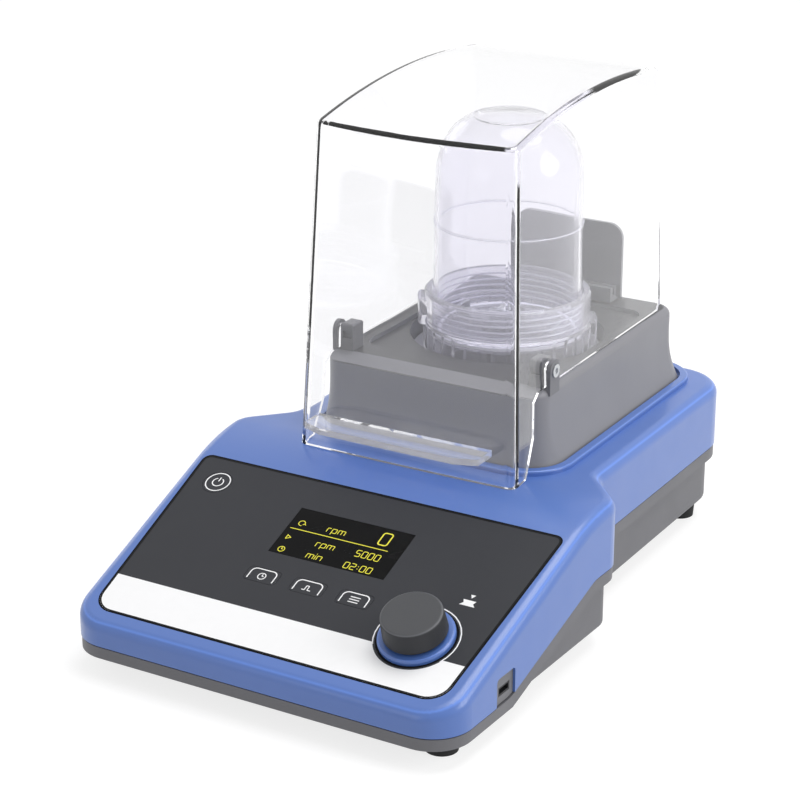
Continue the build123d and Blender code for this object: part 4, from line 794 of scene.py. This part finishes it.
class MILL_OT_panel(bpy.types.Operator):
    """Finishes the control foil and prints its band, outlines and symbols"""

    bl_idname = "mill.panel"
    bl_label = "Control panel"

    def execute(self, context):
        colours, settings = context.scene.mill_colours, context.scene.mill_print
        foil = moulded("foil_plastic", colours.foil_grey, 0.5, 1400, 0.006, 0.03, shine=0.15)
        give(foil, "control_foil", "timer_key", "interval_key", "menu_key", "power_key")
        ink = printed_ink("white_ink", colours.print_white)
        self.place = foil_matrix() @ Matrix.Translation((0, 0, PRINT_LIFT))
        self.painted_seam_shadows(settings, moulded("gasket_rubber", colours.seam_shadow_black, 0.8, shine=0.1))
        self.border(settings, printed_ink("black_ink", colours.seam_shadow_black))
        self.band(settings, ink)
        self.key_outlines(settings, ink)
        self.knob_line(settings, ink)
        self.power_ring(settings, ink)
        self.symbols(settings, ink)
        return {"FINISHED"}

    def printed(self, name, shape, ink, body="base"):
        thicken_print(shape)
        finished(name, shape, ink, body, self.place)

    def painted_seam_shadows(self, settings, shadow_paint):
        """Painted shadow: black strips that fill the gaps round the foil and round the knob's ring, where
        there is only shade.
        """
        depth = settings.seam_shadow_depth
        sunk = foil_matrix() @ Matrix.Translation((0, 0, -depth - PRINT_LIFT))
        shape = bmesh.new()
        foil_path(shape, settings, settings.seam_shadow_width / 2, settings.seam_shadow_width)
        thicken_print(shape, depth)
        finished("foil_gasket", shape, shadow_paint, "base", sunk)
        shape = bmesh.new()
        radius = (settings.hole_radius + settings.ring_radius) / 2
        start = (settings.knob_u + radius, settings.knob_v)
        stroke(shape, start, 90, settings.hole_radius - settings.ring_radius, [("turn", radius, 360)])
        thicken_print(shape, depth)
        finished("knob_gasket", shape, shadow_paint, "base", sunk)

    def border(self, settings, ink):
        """Painted shadow: a black line along the foil's edge that widens the dark seam round the foil. It
        lies over the white band, so it is printed a little thicker.
        """
        shape = bmesh.new()
        foil_path(shape, settings, -settings.border_width / 2, settings.border_width)
        thicken_print(shape, PRINT_DEPTH + PRINT_LIFT)
        finished("foil_border_print", shape, ink, "base", self.place)

    def band(self, settings, ink):
        shape = bmesh.new()
        face = shape.faces.new([shape.verts.new(point) for point in band_outline(settings)])
        face.normal_update()
        bmesh.ops.triangulate(shape, faces=[face], ngon_method="EAR_CLIP")
        self.printed("band_print", shape, ink)

    def key_outlines(self, settings, ink):
        radius = settings.outline_radius
        side = settings.outline_length - radius
        across = settings.outline_width - 2 * radius
        corner = ("turn", radius, 90)
        moves = [("run", side), corner, ("run", across), corner, ("run", side)]
        for i, name in enumerate(("timer", "interval", "menu")):
            shape = bmesh.new()
            start = ((i - 1) * settings.key_pitch + settings.outline_width / 2, settings.outline_v)
            stroke(shape, start, 90, settings.line_width, moves)
            self.printed(name + "_outline_print", shape, ink, name + "_button")

    def knob_line(self, settings, ink):
        shape = bmesh.new()
        radius = settings.knob_line_radius
        overlap = 4
        reach = line_reach(settings) + overlap
        start = ring_point((settings.knob_u, settings.knob_v), radius, -reach)
        stroke(shape, start, 90 - reach, settings.line_width, [("turn", radius, 180 + 2 * reach)])
        self.printed("knob_line_print", shape, ink)

    def power_ring(self, settings, ink):
        radius, line = settings.power_radius, settings.line_width
        centre = (settings.power_u, settings.power_v)
        shape = bmesh.new()
        stroke(shape, ring_point(centre, radius, 0), 90, line, [("turn", radius, 360)])
        self.printed("power_ring_print", shape, ink, "power_button")
        shape = bmesh.new()
        inner = radius * 0.45
        stroke(shape, ring_point(centre, inner, 120), 210, line, [("turn", inner, 300)])
        stroke(shape, ring_point(centre, inner * 0.2, 90), 90, line, [("run", inner)])
        self.printed("power_symbol_print", shape, ink, "power_button")

    def symbols(self, settings, ink):
        """The plain signs on the keys, and the press sign beside the knob."""
        line = settings.line_width
        thin = 0.8 * line
        low = settings.outline_v + 0.1 * settings.outline_length
        shape = bmesh.new()
        clock = 1.5 * MM
        centre = (-settings.key_pitch, low + clock)
        stroke(shape, (centre[0] + clock, centre[1]), 90, thin, [("turn", clock, 360)])
        stroke(shape, centre, 90, thin, [("run", clock * 0.7)])
        stroke(shape, centre, 0, thin, [("run", clock * 0.5)])
        self.printed("clock_print", shape, ink, "timer_button")
        shape = bmesh.new()
        step = 1.6 * MM
        half_width = 1.9 * MM
        bends = [("run", step * 0.6), ("turn", line / 2, 90), ("run", step), ("turn", line / 2, -90)]
        bends += [("run", step * 0.4), ("turn", line / 2, -90), ("run", step), ("turn", line / 2, 90)]
        stroke(shape, (-half_width, low + line), 0, thin, bends + [("run", step * 0.7)])
        self.printed("pulse_print", shape, ink, "interval_button")
        shape = bmesh.new()
        row_length, row_pitch = 4 * MM, 1.2 * MM
        for i in range(3):
            start = (settings.key_pitch - row_length / 2, low + line + i * row_pitch)
            stroke(shape, start, 0, line * 0.9, [("run", row_length)])
        self.printed("menu_print", shape, ink, "menu_button")
        shape = bmesh.new()
        for outline in (PRESS_PLATE, PRESS_ARROW):
            face = shape.faces.new([shape.verts.new((u * MM, v * MM, 0)) for u, v in outline])
            face.normal_update()
        self.printed("press_print", shape, ink)


class MILL_OT_display(bpy.types.Operator):
    """Finishes the display's window and writes its plain figures"""

    bl_idname = "mill.display"
    bl_label = "Display"

    def execute(self, context):
        colours = context.scene.mill_colours
        glass = moulded("display_glass", colours.display_black, 0.3, 60, 0.0, 0.02, shine=0.08)
        give(glass, "display_window")
        give(moulded("display_frame", colours.rubber_black, 0.5), "display_module")
        ink = lit_ink("readout_ink", colours.readout_yellow)
        self.place = foil_matrix() @ Matrix.Translation((0, 0, PRINT_LIFT))
        for name, marks, *sizes in DISPLAY_FIGURES:
            shape = bmesh.new()
            write_figures(shape, marks, *(size * MM for size in sizes))
            self.lit(name + "_readout", shape, ink)
        for name, line, strokes in DISPLAY_SIGNS:
            shape = bmesh.new()
            for (u, v), heading, (kind, size, *degrees) in strokes:
                stroke(shape, (u * MM, v * MM), heading, line * MM, [(kind, size * MM, *degrees)])
            self.lit(name + "_readout", shape, ink)
        return {"FINISHED"}

    def lit(self, name, shape, ink):
        thicken_print(shape)
        finished(name, shape, ink, "base", self.place)


class MILL_OT_knob(bpy.types.Operator):
    """Finishes the knob and the encoder under it"""

    bl_idname = "mill.knob"
    bl_label = "Knob"

    def execute(self, context):
        colours = context.scene.mill_colours
        axis = (0, -math.sin(PANEL_SLOPE), math.cos(PANEL_SLOPE))
        # Painted shade and highlight: the knob's sides are darkened to 0.55 and the rounded edge of its
        # top is lightened twofold.
        painted_shade_and_highlight = [(facing_share, axis, 0.7, 0.3, 0.55), (rim_share, axis, 0.5, 0.99, 2.0)]
        grey = moulded("knob_moulding", colours.knob_grey, 0.45, 1100, 0.01, shine=0.25, painted_light_patches=painted_shade_and_highlight)
        give(grey, "knob")
        give(metal("spindle_steel", colours.steel, 0.28), "knob_spindle", "encoder_plunger")
        give(metal("encoder_metal", colours.steel, 0.4), "encoder_body")
        return {"FINISHED"}


class MILL_OT_works(bpy.types.Operator):
    """Finishes the motor, the boards and the other works inside"""

    bl_idname = "mill.works"
    bl_label = "Works inside"

    def execute(self, context):
        colours = context.scene.mill_colours
        give(circuit_board("board_laminate", colours.board_green), "control_board", "drive_board")
        black = moulded("works_plastic", colours.rubber_black, 0.5)
        give(black, "key_switches", "cooling_fan", "motor_endcap")
        give(moulded("damper_rubber", colours.rubber_black, 0.75), "motor_dampers")
        give(moulded("capacitor_sleeve", colours.display_black, 0.35), "capacitors")
        give(metal("can_steel", colours.steel, 0.35), "motor_can", "motor_bracket", "bracket_screws")
        bright = metal("bearing_steel", colours.steel, 0.18)
        give(bright, "motor_bearings", "motor_shaft", "drive_coupling")
        give(metal("sink_aluminium", colours.steel, 0.4), "heat_sink")
        give(metal("magnet_plating", colours.lower_grey, 0.45), "motor_magnets", "rotor_core")
        return {"FINISHED"}


class MILL_OT_stage(bpy.types.Operator):
    """Sets the camera, the white floor and the soft lamps"""

    bl_idname = "mill.stage"
    bl_label = "Studio stage"

    def execute(self, context):
        settings = context.scene.mill_stage
        self.camera(context, settings)
        self.floor(settings)
        self.sky(context, settings)
        for name, place, size in LAMPS:
            self.lamp(name, getattr(settings, name), place, size)
        context.scene.view_settings.view_transform = "Standard"
        return {"FINISHED"}

    def camera(self, context, settings):
        data = bpy.data.cameras.new("studio_camera")
        data.lens = settings.lens
        data.sensor_width = 36
        data.sensor_fit = "HORIZONTAL"
        data.clip_start, data.clip_end = 0.01, 50
        camera = bpy.data.objects.new("studio_camera", data)
        context.scene.collection.objects.link(camera)
        place = Vector(settings.camera_place)
        camera.location = place
        camera.rotation_euler = (Vector(settings.camera_aim) - place).to_track_quat("-Z", "Y").to_euler()
        context.scene.camera = camera

    def floor(self, settings):
        """A floor that shows white, with the object's shadow, and that bounces plain light."""
        tree = Tree("studio_floor")
        shaded = tree.node("ShaderNodeBsdfDiffuse")
        shaded.inputs["Color"].default_value = (FLOOR_PAINT, FLOOR_PAINT, FLOOR_PAINT, 1)
        glow = tree.node("ShaderNodeEmission")
        glow.inputs["Strength"].default_value = FLOOR_GLOW
        seen = tree.node("ShaderNodeAddShader")
        tree.feed(seen.inputs[0], shaded.outputs[0])
        tree.feed(seen.inputs[1], glow.outputs[0])
        bouncing = tree.node("ShaderNodeBsdfDiffuse")
        bouncing.inputs["Color"].default_value = (FLOOR_BOUNCE, FLOOR_BOUNCE, FLOOR_BOUNCE, 1)
        choice = mixed_shaders(tree, seen_share(tree), bouncing.outputs[0], seen.outputs[0])
        tree.feed(tree.output.inputs["Surface"], choice)
        shape = bmesh.new()
        bmesh.ops.create_grid(shape, x_segments=1, y_segments=1, size=settings.floor_size / 2)
        data = bpy.data.meshes.new("studio_floor")
        shape.to_mesh(data)
        shape.free()
        data.materials.append(tree.material)
        floor = bpy.data.objects.new("studio_floor", data)
        bpy.context.scene.collection.objects.link(floor)

    def sky(self, context, settings):
        """White where it is seen, and even light of the set strength elsewhere."""
        world = bpy.data.worlds.new("studio_sky")
        world.use_nodes = True
        sky = NodeTree(world.node_tree)
        background = sky.nodes["Background"]
        background.inputs["Color"].default_value = (1, 1, 1, 1)
        level = sky.node("ShaderNodeMapRange")
        sky.feed(level.inputs["Value"], seen_share(sky))
        level.inputs["To Min"].default_value = settings.sky
        level.inputs["To Max"].default_value = 1.0
        sky.feed(background.inputs["Strength"], level.outputs["Result"])
        context.scene.world = world

    def lamp(self, name, power, place, size):
        data = bpy.data.lights.new(name, "AREA")
        data.energy = power
        data.shape = "DISK"
        data.size = size
        lamp = bpy.data.objects.new(name, data)
        bpy.context.scene.collection.objects.link(lamp)
        lamp.location = place
        lamp.rotation_euler = (Vector(LAMP_AIM) - Vector(place)).to_track_quat("-Z", "Y").to_euler()


PIECE_STEPS = ("housing", "platform", "hood", "tube", "panel", "display", "knob", "works", "stage")


class MILL_PT_looks(bpy.types.Panel):
    """Lists the sizes, the colours and the steps"""

    bl_idname = "MILL_PT_looks"
    bl_label = "Tube Mill"
    bl_space_type = "VIEW_3D"
    bl_region_type = "UI"
    bl_category = "Tube Mill"

    def draw(self, context):
        scene = context.scene
        for group in (scene.mill_colours, scene.mill_print, scene.mill_tube, scene.mill_stage):
            box = self.layout.box()
            for name in group.bl_rna.properties.keys():
                if name not in ("rna_type", "name"):
                    box.prop(group, name)
        for step in PIECE_STEPS:
            self.layout.operator("mill." + step)


classes = (
    MillColours,
    MillPrint,
    MillTube,
    MillStage,
    MILL_OT_housing,
    MILL_OT_platform,
    MILL_OT_hood,
    MILL_OT_tube,
    MILL_OT_panel,
    MILL_OT_display,
    MILL_OT_knob,
    MILL_OT_works,
    MILL_OT_stage,
    MILL_PT_looks,
)


def register():
    for item in classes:
        bpy.utils.register_class(item)
    bpy.types.Scene.mill_colours = bpy.props.PointerProperty(type=MillColours)
    bpy.types.Scene.mill_print = bpy.props.PointerProperty(type=MillPrint)
    bpy.types.Scene.mill_tube = bpy.props.PointerProperty(type=MillTube)
    bpy.types.Scene.mill_stage = bpy.props.PointerProperty(type=MillStage)


def unregister():
    del bpy.types.Scene.mill_stage
    del bpy.types.Scene.mill_tube
    del bpy.types.Scene.mill_print
    del bpy.types.Scene.mill_colours
    for item in reversed(classes):
        bpy.utils.unregister_class(item)


def main():
    register()
    for step in PIECE_STEPS:
        getattr(bpy.ops.mill, step)()


if __name__ == "__main__":
    main()
